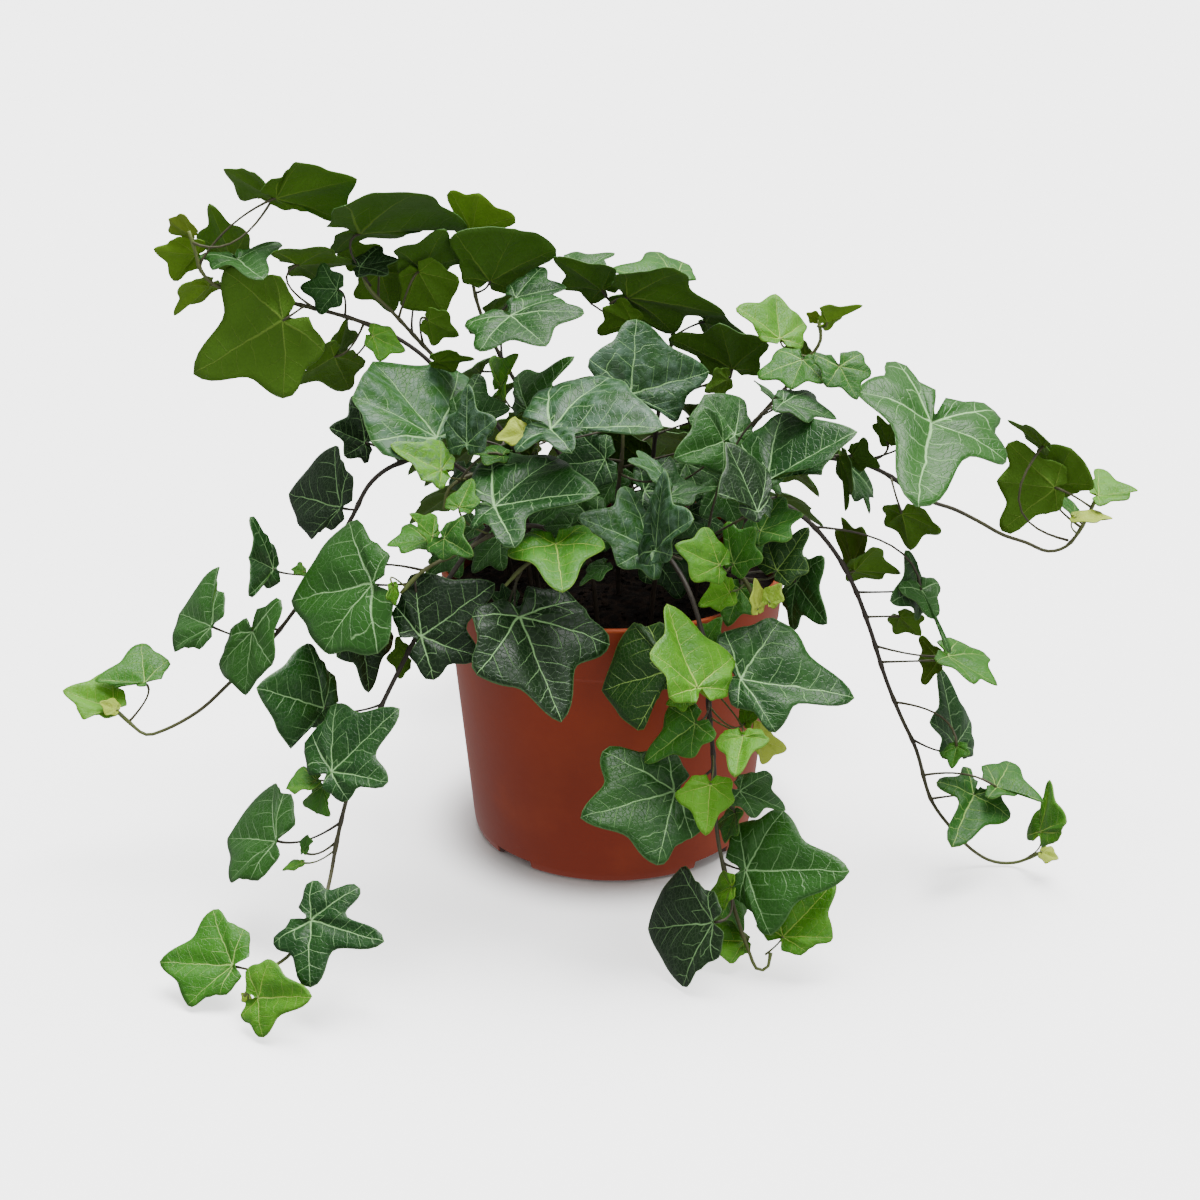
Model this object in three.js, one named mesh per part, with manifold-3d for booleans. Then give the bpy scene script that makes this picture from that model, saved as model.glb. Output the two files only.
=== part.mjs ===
// A potted ivy: a plain moulded pot full of soil, eighteen stems and their lobed leaves.
// Millimetres, +Z up, the origin on the ground under the middle of the pot, -Y towards the viewer.
import * as THREE from "three";
import { mergeVertices } from "three/addons/utils/BufferGeometryUtils.js";
import Module from "manifold-3d";

const wasm = await Module();
wasm.setup();

// ---- driving dimensions -------------------------------------------------------------------

// The pot: a 13 cm tapered moulding with a band under its rim and a notched foot ring.
const POT_HEIGHT = 110;
const RIM_RADIUS = 65;
const BASE_RADIUS = 53.5;
const POT_WALL = 1.4;
const BAND_HEIGHT = 22;
const BAND_STEP = 0.8;
const BOTTOM_ROUND = 2.5;
const FOOT_HEIGHT = 3;
const FOOT_INNER_RADIUS = 44;
const FOOT_NOTCHES = 4;
const FOOT_NOTCH_WIDTH = 18;
const FOOT_NOTCH_HEIGHT = 4;
const DRAIN_HOLES = 6;
const DRAIN_RADIUS = 4;
const DRAIN_RING_RADIUS = 30;
const POT_SEGMENTS = 40;

// The soil: level with a line a finger below the rim, a little heaped in the middle.
const SOIL_TOP = 97;
const SOIL_HEAP = 3;
const SOIL_SEGMENTS = 28;
const ROOT_DEPTH = 14;

// Stems, stalks and blades.
const STEM_RADIUS = 1;
const STEM_SIDES = 5;
const STEM_STEP_LENGTH = 14;
const STALK_RADIUS = 0.6;
const STALK_SIDES = 3;
const STALK_STEPS = 3;
const LEAST_STRAIGHTNESS = 0.45;
const BLADE_THICKNESS = 0.6;
const GAP = 0.3;
const ROOMY_GAP = 0.8;

// This many leaves, the largest, are parts of their own; the others are joined to their stem.
const LEAF_PARTS = 38;

// The leaf plan, as shares of the blade's length: where the side lobes and the base lobes end,
// how deep the notch at the stalk is, and how far the heel between them stands out, as a share
// of the base lobe. A bay reaches this share of the way out to the line between two lobes.
const SIDE_LOBE = [0.44, 0.62];
const BASE_LOBE = [-0.08, 0.42];
const NOTCH = [-0.05, 0];
const HEEL_REACH = 0.55;
const BAY_REACH = { old: 0.84, mid: 0.87, young: 0.91, bud: 0.95 };
const LOBE_RANGE = [0.4, 1.7];

// How a lobe's end is rounded: how far back and how far aside its flank sets out, and how
// softly it runs into the bay, as shares of the way between them.
const TIP_ROUNDING = [0.16, 0.36];
const SIDE_ROUNDING = [0.02, 0.46];
const BAY_SOFTNESS = 0.24;
const LEAST_FACING = 0.35;
const TILT_SHARE = 0.7;

// The eye that the layout was read from, and the slope of its view.
const EYE = new THREE.Vector3(-4.85, -1002.3, 545.8);
const VIEW_PITCH = THREE.MathUtils.degToRad(24.33);

// ---- layout -------------------------------------------------------------------------------
// A place is [right, up] in millimetres on the sight plane, which faces the eye through the
// origin, and a nearness: how far in front of the pot's axis the thing itself is.

// Stem: name, root [x, y] in the soil, then its course as [right, up, nearness].
const STEMS = [
  ["upper_left", [-30, 8], [[-42, 130, -2], [-58, 158, -8], [-71, 177, -13], [-85, 187.5, -17],
    [-100, 194, -19], [-120, 199.5, -21], [-140, 204, -23], [-155, 207.5, -25], [-161, 213, -26],
    [-163.5, 221, -27], [-166, 229, -28]]],
  ["upper_middle", [-18, 20], [[-36, 140, -14], [-56, 166, -20], [-73, 183, -23],
    [-86, 197, -25], [-95, 206, -26], [-99, 215, -27]]],
  ["crown_back", [-4, 30], [[-14, 130, -26], [-32, 160, -34], [-48, 188, -40], [-54, 205, -44],
    [-56, 224, -46]]],
  ["crown_rear", [16, 30], [[16, 140, -28], [20, 170, -32], [24, 192, -34], [22, 206, -36]]],
  ["right_top", [28, 14], [[40, 130, -2], [56, 154, 2], [70, 170, 4], [77, 179, 5],
    [81.5, 186, 5], [81, 194, 5]]],
  ["far_right", [34, 2], [[50, 126, 2], [66, 137, 5], [82, 140, 6], [96, 138.5, 5],
    [107, 134, 3], [116, 128, 1], [125, 123, -2], [134, 120, -5], [144, 115, -8],
    [153, 110, -10], [162, 107, -12], [171, 103.5, -14], [178, 105.5, -16],
    [184, 113, -17.5], [190, 125, -19]]],
  ["long_right", [38, -10], [[54, 118, 20], [66, 122, 23], [77, 115, 24], [88, 102, 25],
    [95, 89, 25], [101, 73, 26], [107, 54, 28], [113, 39, 29], [119, 26, 30], [125, 6, 32],
    [132, -4, 35], [141, -13.5, 38], [149, -18, 39.5], [158, -18.5, 40.5], [168, -14.5, 45]]],
  ["far_left", [-38, 0], [[-54, 132, 12], [-72, 140, 16], [-86, 137, 20], [-95, 130, 22],
    [-102, 117, 24], [-111, 101, 27], [-120, 87, 30], [-131, 72, 34], [-141, 61, 36],
    [-151, 51, 38], [-162, 41, 40], [-176, 33.3, 42], [-183, 31.7, 42], [-190, 37, 41],
    [-197, 43.5, 39]]],
  ["lower_left", [-30, -20], [[-40, 118, 36], [-56, 104, 50], [-70, 83, 60], [-81, 62, 68],
    [-90, 44, 75], [-98, 25, 83], [-104, 7, 90], [-108, -10, 98], [-110.5, -24, 107],
    [-114, -37, 121], [-120, -47, 131], [-128, -56, 137], [-137, -62, 141],
    [-144.5, -71, 147]]],
  ["front_left", [-20, -28], [[-26, 112, 44], [-42, 112, 54], [-58, 104, 62], [-74, 96, 66],
    [-83, 87, 68]]],
  ["front_middle", [-6, -36], [[-12, 104, 50], [-22, 104, 56], [-34, 98, 62],
    [-42, 90, 66]]],
  ["front", [14, -34], [[20, 102, 48], [28, 92, 62], [34, 76, 72], [37, 58, 78],
    [38, 40, 82], [39.5, 24, 87], [40, 8, 92], [41.5, -10, 97], [44.5, -24, 102],
    [48.5, -39, 109], [53, -52, 114.5], [57, -60.5, 119], [60.5, -60, 119], [62, -54, 118]]],
  ["crown_left", [-28, -10], [[-38, 126, 20], [-52, 134, 26], [-64, 128, 32],
    [-66, 120, 36]]],
  ["crown_middle", [2, -8], [[2, 124, 14], [4, 144, 16], [4, 158, 14]]],
  ["crown_right", [30, -24], [[38, 108, 42], [46, 98, 54], [52, 92, 62], [57, 82, 68]]],
  ["trail_back_left", [-26, 34], [[-38, 142, -58], [-46, 142, -84], [-50, 124, -104],
    [-50, 102, -118], [-48, 82, -128]]],
  ["trail_back", [0, 44], [[2, 140, -66], [6, 140, -92], [8, 122, -116], [8, 100, -132],
    [8, 76, -142], [8, 66, -148]]],
  ["trail_back_right", [30, 34], [[42, 138, -60], [50, 136, -86], [54, 118, -106],
    [52, 98, -120]]],
];

// Leaf: stem, age, the face that the eye sees, nearness, the blade's base, its tip, the ends of
// its side lobes, the ends of its base lobes where they show, and how far the bay before each
// side lobe reaches where that isn't as usual at its age.
const LEAVES = [
  // upper left
  ["upper_left", "bud", "under", -32, [-165, 228], [-174, 234], [[-174, 229], [-169, 236]], []],
  ["upper_left", "young", "under", -30, [-163, 220], [-180, 222], [[-172, 226], [-172, 209.5]],
    []],
  ["upper_left", "mid", "under", -36, [-149, 218], [-158, 240], [[-163, 227], [-143.5, 229]], []],
  ["upper_left", "old", "top", -22, [-147, 218], [-137, 210], [[-129.5, 224], [-157, 214]],
    [[-162, 219.5]]],
  ["upper_left", "young", "under", -30, [-158, 208], [-172, 196], [[-170, 207], [-162, 201]], []],
  ["upper_left", "mid", "under", -14, [-129, 194], [-164, 173], [[-129, 163.5], [-152, 214]],
    [[-113, 182], [-133, 212]]],
  ["upper_left", "mid", "under", -30, [-132, 242], [-100, 249.5], [[-122.5, 256], [-106.5, 233.5]],
    [[-130.5, 250], [-126.5, 237.5]], [1, 1]],
  ["upper_left", "mid", "under", -26, [-123, 216], [-101, 217], [[-110, 222], [-115, 210]],
    [[-133, 221]]],
  ["upper_left", "old", "top", -24, [-108, 206], [-122.5, 207], [[-115, 196.5]], []],
  ["upper_left", "young", "top", -8, [-94, 188], [-81, 182], [[-86, 190.5], [-91, 178]], []],
  ["upper_left", "mid", "under", -16, [-108, 180], [-104, 195], [[-109.5, 188], [-100, 189]], []],
  ["upper_left", "mid", "under", -10, [-109, 180], [-129, 168.5], [[-103, 167], [-120, 174]],
    [[-97, 176]]],
  ["upper_left", "mid", "under", -30, [-133, 242], [-152.5, 253.5], [[-142, 252.5], [-146, 241.5]],
    [[-134, 245], [-137, 241.5]], [1, 1]],
  // upper middle
  ["upper_middle", "old", "under", -30, [-99, 228], [-56.5, 229.5], [[-76.5, 244], [-82, 227]],
    [[-108, 247]], [1, 1]],
  ["upper_middle", "mid", "under", -34, [-99, 216], [-104, 227], [[-108, 221], [-90, 223]], []],
  ["upper_middle", "old", "top", -28, [-99, 215], [-84, 218], [[-91, 223], [-88, 212]], []],
  ["upper_middle", "old", "under", -34, [-74.5, 214], [-66, 230], [[-85, 222], [-55, 219]], []],
  ["upper_middle", "mid", "under", -40, [-76, 213], [-66, 196], [[-60, 209], [-82, 199]],
    [], [1, 1]],
  ["upper_middle", "mid", "under", -42, [-91, 213], [-86, 197], [[-76, 211], [-101, 203]], []],
  ["upper_middle", "mid", "under", -12, [-72, 194], [-60, 188], [[-64, 197], [-70, 184]], []],
  ["upper_middle", "mid", "under", -2, [-69, 178], [-54, 179], [[-62, 182], [-62, 174]], []],
  // crown back
  ["crown_back", "old", "under", -40, [-48, 209.5], [-38, 230], [[-62, 228], [-22, 222]],
    [], [1, 1.08]],
  ["crown_back", "young", "under", -50, [-55, 229], [-52, 244], [[-63.5, 245], [-38, 234.5]], []],
  ["crown_back", "old", "top", -2, [-40, 196], [-26, 184], [[-11, 197], [-52, 182]],
    [[-13, 205], [-58, 192]]],
  ["crown_back", "old", "top", -24, [-38, 203], [-18, 207], [[-27, 215], [-24, 199]], []],
  ["crown_back", "old", "top", 12, [-33, 158.5], [-15, 180], [[-37, 173], [-23, 165]], []],
  ["crown_back", "young", "top", 6, [-44, 168], [-37, 181], [[-48, 179], [-41, 172]], []],
  // crown rear
  ["crown_rear", "mid", "top", -30, [25, 209], [-1, 214], [[12, 209.5], [17, 221]], [[28, 221.5]]],
  ["crown_rear", "old", "under", -28, [6, 203], [44, 196.5], [[27, 213], [24, 189]], []],
  ["crown_rear", "old", "top", -40, [-14, 213], [1, 220.5], [[-18, 220], [-2, 215]], []],
  ["crown_rear", "old", "under", -34, [-4, 206], [-23, 219], [[-20, 207], [0, 215]], []],
  ["crown_rear", "mid", "under", -18, [8, 193], [-4, 199], [[-6, 189], [3, 203]], []],
  ["crown_rear", "old", "under", -22, [47, 175], [42, 193], [[22, 187], [60, 186]], []],
  ["crown_rear", "mid", "under", -10, [45, 171], [36, 166], [[40, 175]], []],
  // right top
  ["right_top", "mid", "top", 18, [74.5, 178.5], [70, 167], [[83, 169.5], [57, 171.5]],
    [[60, 184]]],
  ["right_top", "mid", "top", 22, [89, 176], [96, 163], [[101.5, 173], [84, 168]],
    [[98, 181], [78, 181]]],
  ["right_top", "young", "top", 4, [66, 187], [64, 204.5], [[48.5, 199], [75.5, 193]], []],
  ["right_top", "mid", "under", 2, [75.5, 180.5], [67, 187.5], [[67, 183], [75, 186.5]], []],
  ["right_top", "young", "under", 6, [84, 193.5], [98, 200], [[82, 199.5], [90, 195.5]], []],
  ["right_top", "bud", "under", 5, [80.5, 194.5], [76, 197], [], []],
  // far right
  ["far_right", "old", "top", 16, [125, 154], [119, 121], [[154.5, 138.5], [96, 166]],
    [[150, 158.5], [111, 178]], [0.78, 0.81]],
  ["far_right", "mid", "under", -11, [173.5, 128.5], [150.5, 131], [[155, 146], [152.5, 111.5]],
    []],
  ["far_right", "mid", "under", -15, [173.5, 130], [180, 144], [[168.5, 145], [189, 129.5]],
    [[167.5, 139.5], [168, 119.5]], [1.06, 1.06]],
  ["far_right", "mid", "under", -12, [169, 145], [155, 155], [[163, 153], [162, 148]], []],
  ["far_right", "young", "top", -19, [190.5, 125.5], [206, 127.5], [[190.5, 136], [203, 125]], []],
  ["far_right", "bud", "top", -16, [182, 117], [196, 116.5], [[190, 119.5], [190, 115]], []],
  ["far_right", "mid", "top", -15, [181.5, 118], [174.5, 128.5], [[176, 122], [180, 123.5]], []],
  ["far_right", "old", "under", -2, [94, 141], [105, 136.5], [[99, 148], [98, 135]], []],
  ["far_right", "mid", "under", 4, [108, 146.5], [104, 157], [[102, 153], [111, 152]], []],
  ["far_right", "old", "under", 4, [89, 141], [91.5, 119.5], [[94, 126], [88, 134]], []],
  ["far_right", "old", "top", 10, [93, 137], [101, 118], [[102.5, 125], [95, 123]], []],
  ["far_right", "mid", "under", 14, [113.5, 118.5], [117, 104], [[129, 111], [107, 113.5]],
    [[124, 118]]],
  // long right
  ["long_right", "mid", "under", 14, [94.5, 98.5], [90, 117], [[87.5, 112], [99, 112]], []],
  ["long_right", "mid", "under", 16, [95, 96], [113, 95], [[104, 105], [106, 93]], []],
  ["long_right", "old", "top", 24, [120, 88.3], [109, 84], [[119, 76.5], [115, 104]], []],
  ["long_right", "old", "top", 28, [121, 88.3], [132.5, 63.5], [[137, 78], [127, 77.5]], []],
  ["long_right", "mid", "top", 32, [131.5, 62.5], [151, 51], [[147, 62.5], [142, 51.5]],
    [[138, 73]]],
  ["long_right", "mid", "under", 22, [128, 61], [120, 61], [[120.5, 70], [121.5, 51.5]], []],
  ["long_right", "mid", "under", 20, [112.5, 78], [121, 70.5], [[122.5, 77.5]], []],
  ["long_right", "old", "top", 34, [134.5, 27.5], [128, 58.5], [[124.5, 36.5], [140, 38]], []],
  ["long_right", "mid", "top", 36, [135, 27], [133, 18.5], [[140, 24]], []],
  ["long_right", "mid", "top", 38, [141.7, 8], [133, -12.5], [[156, -1], [127, 13]],
    [[150, 9.5], [139, 19]], [0.95, 0.55]],
  ["long_right", "mid", "top", 38, [150.5, 11], [169, 5.5], [[156, 21], [158.5, 8]],
    [[140.5, 31.5], [146, 20.5]], [0.9, 1]],
  ["long_right", "young", "top", 50, [167.5, -6.5], [171.3, 14], [[178, -2.5], [167.5, 2.5]],
    [[176, -7]], [1, 1]],
  ["long_right", "bud", "top", 45, [168.5, -14.5], [175, -17], [], []],
  // far left
  ["far_left", "old", "top", 8, [-106.5, 120.5], [-127, 126], [[-118.5, 108.5], [-108.5, 145]],
    [[-112, 112.5], [-103.5, 134.5]], [1.06, 1.06]],
  ["far_left", "old", "top", 4, [-97, 146], [-111, 152], [[-105, 141], [-101, 165]], []],
  ["far_left", "old", "top", 30, [-133, 96.5], [-142.5, 101], [[-144, 122], [-143, 85.5]],
    [[-134, 107], [-137, 91]], [1, 1]],
  ["far_left", "young", "top", 34, [-121, 95.5], [-126, 96.5], [[-122.5, 99.5], [-125, 95]], []],
  ["far_left", "old", "top", 36, [-157, 74], [-170, 79], [[-154.5, 97.5], [-172, 65]],
    [[-154.5, 88], [-163.5, 65.5]], [1, 1]],
  ["far_left", "old", "top", 42, [-141, 72], [-144, 47], [[-133.5, 59], [-154, 57.5]],
    [[-130, 84.5], [-150.5, 70]], [1, 1]],
  ["far_left", "mid", "top", 38, [-183.5, 52], [-203, 53], [[-184.5, 67.5], [-194.5, 50]],
    [[-174, 61], [-186.5, 51.5]], [0.95, 1]],
  ["far_left", "young", "top", 42, [-195, 42], [-215.5, 49], [[-197, 56.5], [-208, 38]],
    [[-193.5, 50], [-200.5, 39]], [0.95, 0.95]],
  ["far_left", "bud", "top", 45, [-194.5, 41.5], [-201, 44.5], [], []],
  // lower left
  ["lower_left", "old", "top", 62, [-113, 42], [-139.5, 50], [[-119.5, 67.5], [-126, 26]],
    [[-111, 56.5], [-119, 35.5]], [1, 1.05]],
  ["lower_left", "old", "top", 97, [-110, 17], [-83.5, 42], [[-108, 44], [-88, 13]],
    [[-118, 32], [-103.5, 6]], [0.87, 0.74]],
  ["lower_left", "young", "top", 92, [-116, 14], [-128, 10.5], [[-122, 19], [-125, 8.5]],
    [[-117, 17], [-119.5, 10]], [1, 1]],
  ["lower_left", "mid", "top", 94, [-113.5, 11.5], [-116, 0.5], [[-121.5, 4.5], [-111, -0.5]],
    [[-118, 9], [-111.5, 6.5]], [1, 1]],
  ["lower_left", "old", "top", 90, [-132, -10], [-151, -9], [[-132.5, 12.5], [-150, -26]],
    [[-129, 9], [-142, -25.5]], [1.05, 0.95]],
  ["lower_left", "mid", "top", 99, [-121, -14.5], [-119.5, -7.5], [[-122.5, -10], [-117.5, -10]],
    [[-122, -12.5], [-119, -12.5]], [1, 1]],
  ["lower_left", "young", "top", 101, [-121.5, -18.5], [-129.5, -21.5],
    [[-125.5, -17.5], [-125, -21.5]], [[-122.5, -17.5], [-122, -20]], [1, 1]],
  ["lower_left", "old", "top", 133, [-118, -41], [-89.5, -49.5], [[-99, -28.5], [-118.5, -67.5]],
    [[-117.5, -25.5], [-133, -50.5]], [0.61, 0.68]],
  ["lower_left", "young", "top", 148, [-139, -71.5], [-118, -71], [[-134, -56.5], [-137, -87]],
    [[-142.5, -59.5], [-145.5, -79.5]], [0.97, 0.85]],
  ["lower_left", "mid", "top", 130, [-149, -59], [-177.5, -57.5], [[-156.5, -37], [-166.5, -74.5]],
    [[-144.5, -44.5], [-154, -70.5]], [0.88, 0.93]],
  ["lower_left", "bud", "top", 148, [-142.5, -72.5], [-145.5, -69.5], [], []],
  ["lower_left", "mid", "under", 64, [-80.5, 62], [-88.5, 61.5], [[-84.5, 70]], []],
  // front left
  ["front_left", "old", "top", 62, [-94, 90.5], [-126, 84], [[-103, 115], [-113, 64]],
    [[-88, 103], [-92, 63]], [1.02, 1.0]],
  ["front_left", "old", "top", 50, [-99, 76], [-95.5, 48], [[-86, 68], [-108, 62]], []],
  ["front_left", "young", "top", 71, [-86, 90], [-85, 82], [[-83.5, 86], [-88.5, 85]], []],
  ["front_left", "old", "top", 76, [-75, 70], [-46, 91], [[-77, 95], [-53, 62]],
    [[-85, 82], [-70, 53]], [0.97, 0.74]],
  ["front_left", "mid", "top", 58, [-73, 108], [-88.5, 106], [[-83, 103], [-81, 114]], []],
  ["front_left", "young", "top", 68, [-70.5, 109.5], [-79.5, 118.5], [[-76, 112], [-69.5, 118]],
    []],
  ["front_left", "mid", "top", 70, [-66, 108.5], [-54.5, 101.5], [[-58.5, 117], [-66, 100]],
    [[-73, 104]]],
  ["front_left", "young", "top", 52, [-60, 121], [-55, 132], [[-65, 124], [-51.5, 121.5]], []],
  // front middle
  ["front_middle", "old", "top", 58, [-46.5, 121], [-5, 126.5], [[-21, 140], [-38, 105]],
    [[-47, 141.5], [-55, 112]], [0.97, 0.64]],
  ["front_middle", "old", "top", 78, [-36.5, 78], [-20, 36.5], [[-1, 67], [-53, 55]],
    [[-14, 84], [-55, 78]], [0.82, 0.96]],
  ["front_middle", "young", "top", 72, [-22, 106.5], [-19.5, 87.5], [[-3, 105], [-41, 102]],
    [[-11, 113.5], [-33, 111]]],
  ["front_middle", "old", "top", 62, [-41, 81], [-43, 91], [[-47.5, 87], [-37, 88]], []],
  ["front_middle", "old", "top", 54, [-16, 114], [-27, 113], [[-24, 106], [-20, 119]], []],
  ["front_middle", "old", "top", 56, [-3, 98], [-13, 90], [[-5, 92], [-10, 97]], []],
  // front
  ["front", "mid", "top", 78, [24, 57], [-4, 49], [[10, 33.5], [8, 75]],
    [[20.5, 49.5], [14, 74]], [1.04, 1.04]],
  ["front", "young", "top", 92, [33, 50.3], [21.5, 82.5], [[15, 63.5], [47, 62]], []],
  ["front", "mid", "top", 82, [35, 66], [43, 78], [[34, 75], [45, 68]], []],
  ["front", "old", "top", 88, [50, 53.5], [95, 46], [[66, 76], [64, 32.5]],
    [[44, 72], [49, 42]], [0.92, 0.8]],
  ["front", "mid", "top", 94, [32.5, 36], [12.5, 20.5], [[22, 42.5], [31, 22.5]], [[40, 30]]],
  ["front", "young", "top", 86, [30, 46.5], [21, 43.5], [], []],
  ["front", "old", "top", 98, [24.5, 9.5], [-12.5, -1], [[-4, 25], [17.5, -19.5]],
    [[21, 26], [31, -9]], [0.86, 0.9]],
  ["front", "young", "top", 108, [38.5, 12], [36.5, -8], [[47.5, 5], [24.5, 7.5]], []],
  ["front", "young", "top", 104, [51, 31], [48, 15], [[61.5, 29.5], [40.5, 28]], []],
  ["front", "bud", "top", 92, [57, 31], [68.5, 26], [[60, 35], [59, 20]], []],
  ["front", "young", "top", 90, [52, 36], [55, 44], [[50.5, 42.5], [57, 39]], []],
  ["front", "old", "top", 96, [50, 9.5], [68, 2], [[62, 16.5], [56, -1]], []],
  ["front", "mid", "top", 90, [48, 1], [44, -11], [[49, -8], [41, -4]], []],
  ["front", "old", "top", 104, [52.5, -21.5], [93, -22], [[67, 2], [62, -47]],
    [[50, -3], [50, -34]], [0.9, 0.9]],
  ["front", "young", "top", 118, [67, -47.5], [87.5, -26], [[61, -26.5], [86.5, -48]],
    [[76, -53.5]]],
  ["front", "young", "top", 119, [52, -49.5], [28.5, -46.5], [[46, -58], [46, -38]],
    [[53, -54], [50.5, -45.5]], [1, 1]],
  ["front", "old", "top", 120, [39.5, -42], [14, -44.5], [[27, -20.5], [27.5, -67]],
    [[38, -29.5], [39.5, -57]], [1.06, 1.04]],
  ["front", "young", "top", 107, [46.5, -28], [37.5, -32], [[43, -22]], []],
  ["front", "mid", "top", 108, [46, -30], [51, -47], [[53, -37], [42.5, -40]], []],
  // crown left
  ["crown_left", "old", "top", 22, [-69, 148], [-94, 178], [[-102, 164], [-60, 174]],
    [[-96.5, 146.5]], [1.02, 0.95]],
  ["crown_left", "old", "top", 14, [-60, 156], [-40, 159.5], [[-52, 173], [-47, 149]], []],
  ["crown_left", "old", "top", 36, [-57, 145.5], [-56.5, 169], [[-65, 155], [-45.5, 155]], []],
  ["crown_left", "young", "top", 40, [-67, 135.5], [-87, 145.5], [[-75, 131.5], [-68, 147]], []],
  ["crown_left", "bud", "top", 40, [-35, 150], [-46, 147.5], [[-40, 145], [-39, 156]], []],
  ["crown_left", "mid", "top", 30, [-43, 141], [-57, 142], [[-50, 137.5], [-49, 144.5]], []],
  // crown middle
  ["crown_middle", "old", "top", 46, [-24.5, 151.5], [20, 152], [[-1, 171.5], [-16, 142]],
    [[-24, 168], [-38, 142.5]], [1.0, 0.55]],
  ["crown_middle", "old", "top", 12, [7, 165], [38, 174], [[9, 194.5], [26, 155]],
    [[-9, 179], [14, 159]], [0.95, 0.9]],
  ["crown_middle", "old", "top", 48, [15, 104.5], [-13.5, 117], [[2, 98], [5, 129]], []],
  ["crown_middle", "old", "top", 50, [17, 104], [20.5, 135], [[15.5, 122], [31.5, 116]], []],
  ["crown_middle", "old", "top", 30, [20, 133], [6, 139], [[16, 131], [10, 143]], []],
  ["crown_middle", "old", "top", 40, [22, 125], [40, 128], [[31, 131], [31, 122]], []],
  ["crown_middle", "old", "top", 46, [43.5, 146.5], [24, 140], [[43, 133.5], [35, 160]],
    [], [1, 1]],
  ["crown_middle", "old", "top", 28, [48, 149], [36, 165], [[30, 155], [50, 164]], [], [1, 1]],
  // crown right
  ["crown_right", "old", "top", 54, [61, 131], [96, 150.5], [[67, 158], [82, 133.5]],
    [[49.5, 147.5], [67.5, 132.5]], [0.95, 1.0]],
  ["crown_right", "old", "top", 60, [57, 119], [44.5, 146], [[41.5, 126], [60, 136]],
    [[49.5, 120.5], [61.5, 125.5]], [1, 1]],
  ["crown_right", "mid", "top", 60, [58, 111.5], [75, 118], [[67, 125], [70, 108.5]], []],
  ["crown_right", "mid", "top", 66, [64.5, 96], [77, 113], [[61, 107], [77, 96]], []],
  ["crown_right", "mid", "top", 62, [47.5, 98.5], [56, 113], [[45, 115], [59, 101]], []],
  ["crown_right", "young", "top", 72, [42, 98], [24.5, 106], [[31, 92.5], [36, 113]], []],
  ["crown_right", "young", "top", 70, [46, 87.5], [33.5, 82], [[41, 96], [41, 80]], []],
  ["crown_right", "bud", "top", 76, [57, 81], [56, 93], [[54, 85], [60, 87]], []],
  ["crown_right", "bud", "top", 75, [61.5, 83.5], [66, 91], [], []],
  ["crown_right", "old", "top", 52, [72, 91.5], [84, 75], [[83, 101], [71, 72.5]],
    [], [0.85, 0.75]],
  ["crown_right", "old", "top", 36, [67, 162], [88, 155.5], [[78, 166], [77, 154]], []],
  // in the shade between the others
  ["crown_left", "old", "top", 12, [-54, 113], [-67, 101], [[-66, 113], [-55, 100]], []],
  ["crown_left", "old", "top", 0, [-57, 136], [-58, 121], [[-64, 129], [-51, 128]], []],
  ["front_left", "old", "top", 22, [-44, 109], [-55, 95], [[-57, 107], [-43, 96]], []],
  ["crown_middle", "old", "top", -2, [-22, 126], [-34, 112], [[-36, 124], [-22, 111]], []],
  ["crown_middle", "old", "top", -8, [2, 134], [-6, 118], [[-11, 130], [5, 121]], []],
  ["crown_middle", "old", "top", -6, [29, 138], [36, 121], [[22, 126], [43, 131]], []],
  ["right_top", "old", "top", 0, [42, 129], [50, 112], [[35, 117], [56, 122]], []],
  ["right_top", "old", "top", 10, [30, 119], [37, 103], [[24, 109], [44, 112]], []],
  ["far_right", "old", "top", 14, [57, 117], [60, 100], [[49, 106], [67, 110]], []],
  ["crown_right", "mid", "top", 48, [50, 89], [45, 74], [[36, 84], [57, 79]], []],
  ["lower_left", "old", "top", 34, [-60, 106], [-72, 94], [[-72, 105], [-60, 93]], []],
];

// What the eye can't see grows by rule: stem, age, count, where on the stem from and to, length.
const HIDDEN = [
  ["trail_back_left", "old", 8, 0.3, 0.97, 27],
  ["trail_back", "old", 9, 0.3, 0.97, 27],
  ["trail_back_right", "old", 8, 0.3, 0.97, 27],
  ["crown_back", "old", 4, 0.35, 0.75, 30],
  ["crown_rear", "old", 4, 0.35, 0.85, 30],
  ["crown_middle", "old", 4, 0.35, 0.8, 26],
  ["right_top", "old", 3, 0.4, 0.65, 24],
  ["upper_middle", "old", 2, 0.35, 0.5, 24],
];

// ---- geometry helpers ---------------------------------------------------------------------

const WORLD_UP = new THREE.Vector3(0, 0, 1);
const VIEW_UP = new THREE.Vector3(0, Math.sin(VIEW_PITCH), Math.cos(VIEW_PITCH));

function sightPoint([right, up]) {
  return new THREE.Vector3(right, 0, 0).addScaledVector(VIEW_UP, up);
}

// The point that the eye sees at [right, up], where it stands `nearness` in front of the axis.
function seen(place, nearness) {
  const onPlane = sightPoint(place);
  return EYE.clone().lerp(onPlane, depthShare(place, nearness));
}

function depthShare(place, nearness) {
  return (-nearness - EYE.y) / (sightPoint(place).y - EYE.y);
}

// The point of the plane through `origin` that the eye sees at [right, up].
function seenOnPlane(place, origin, normal) {
  const ray = sightPoint(place).sub(EYE);
  const share = origin.clone().sub(EYE).dot(normal) / ray.dot(normal);
  return EYE.clone().addScaledVector(ray, share);
}

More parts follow.
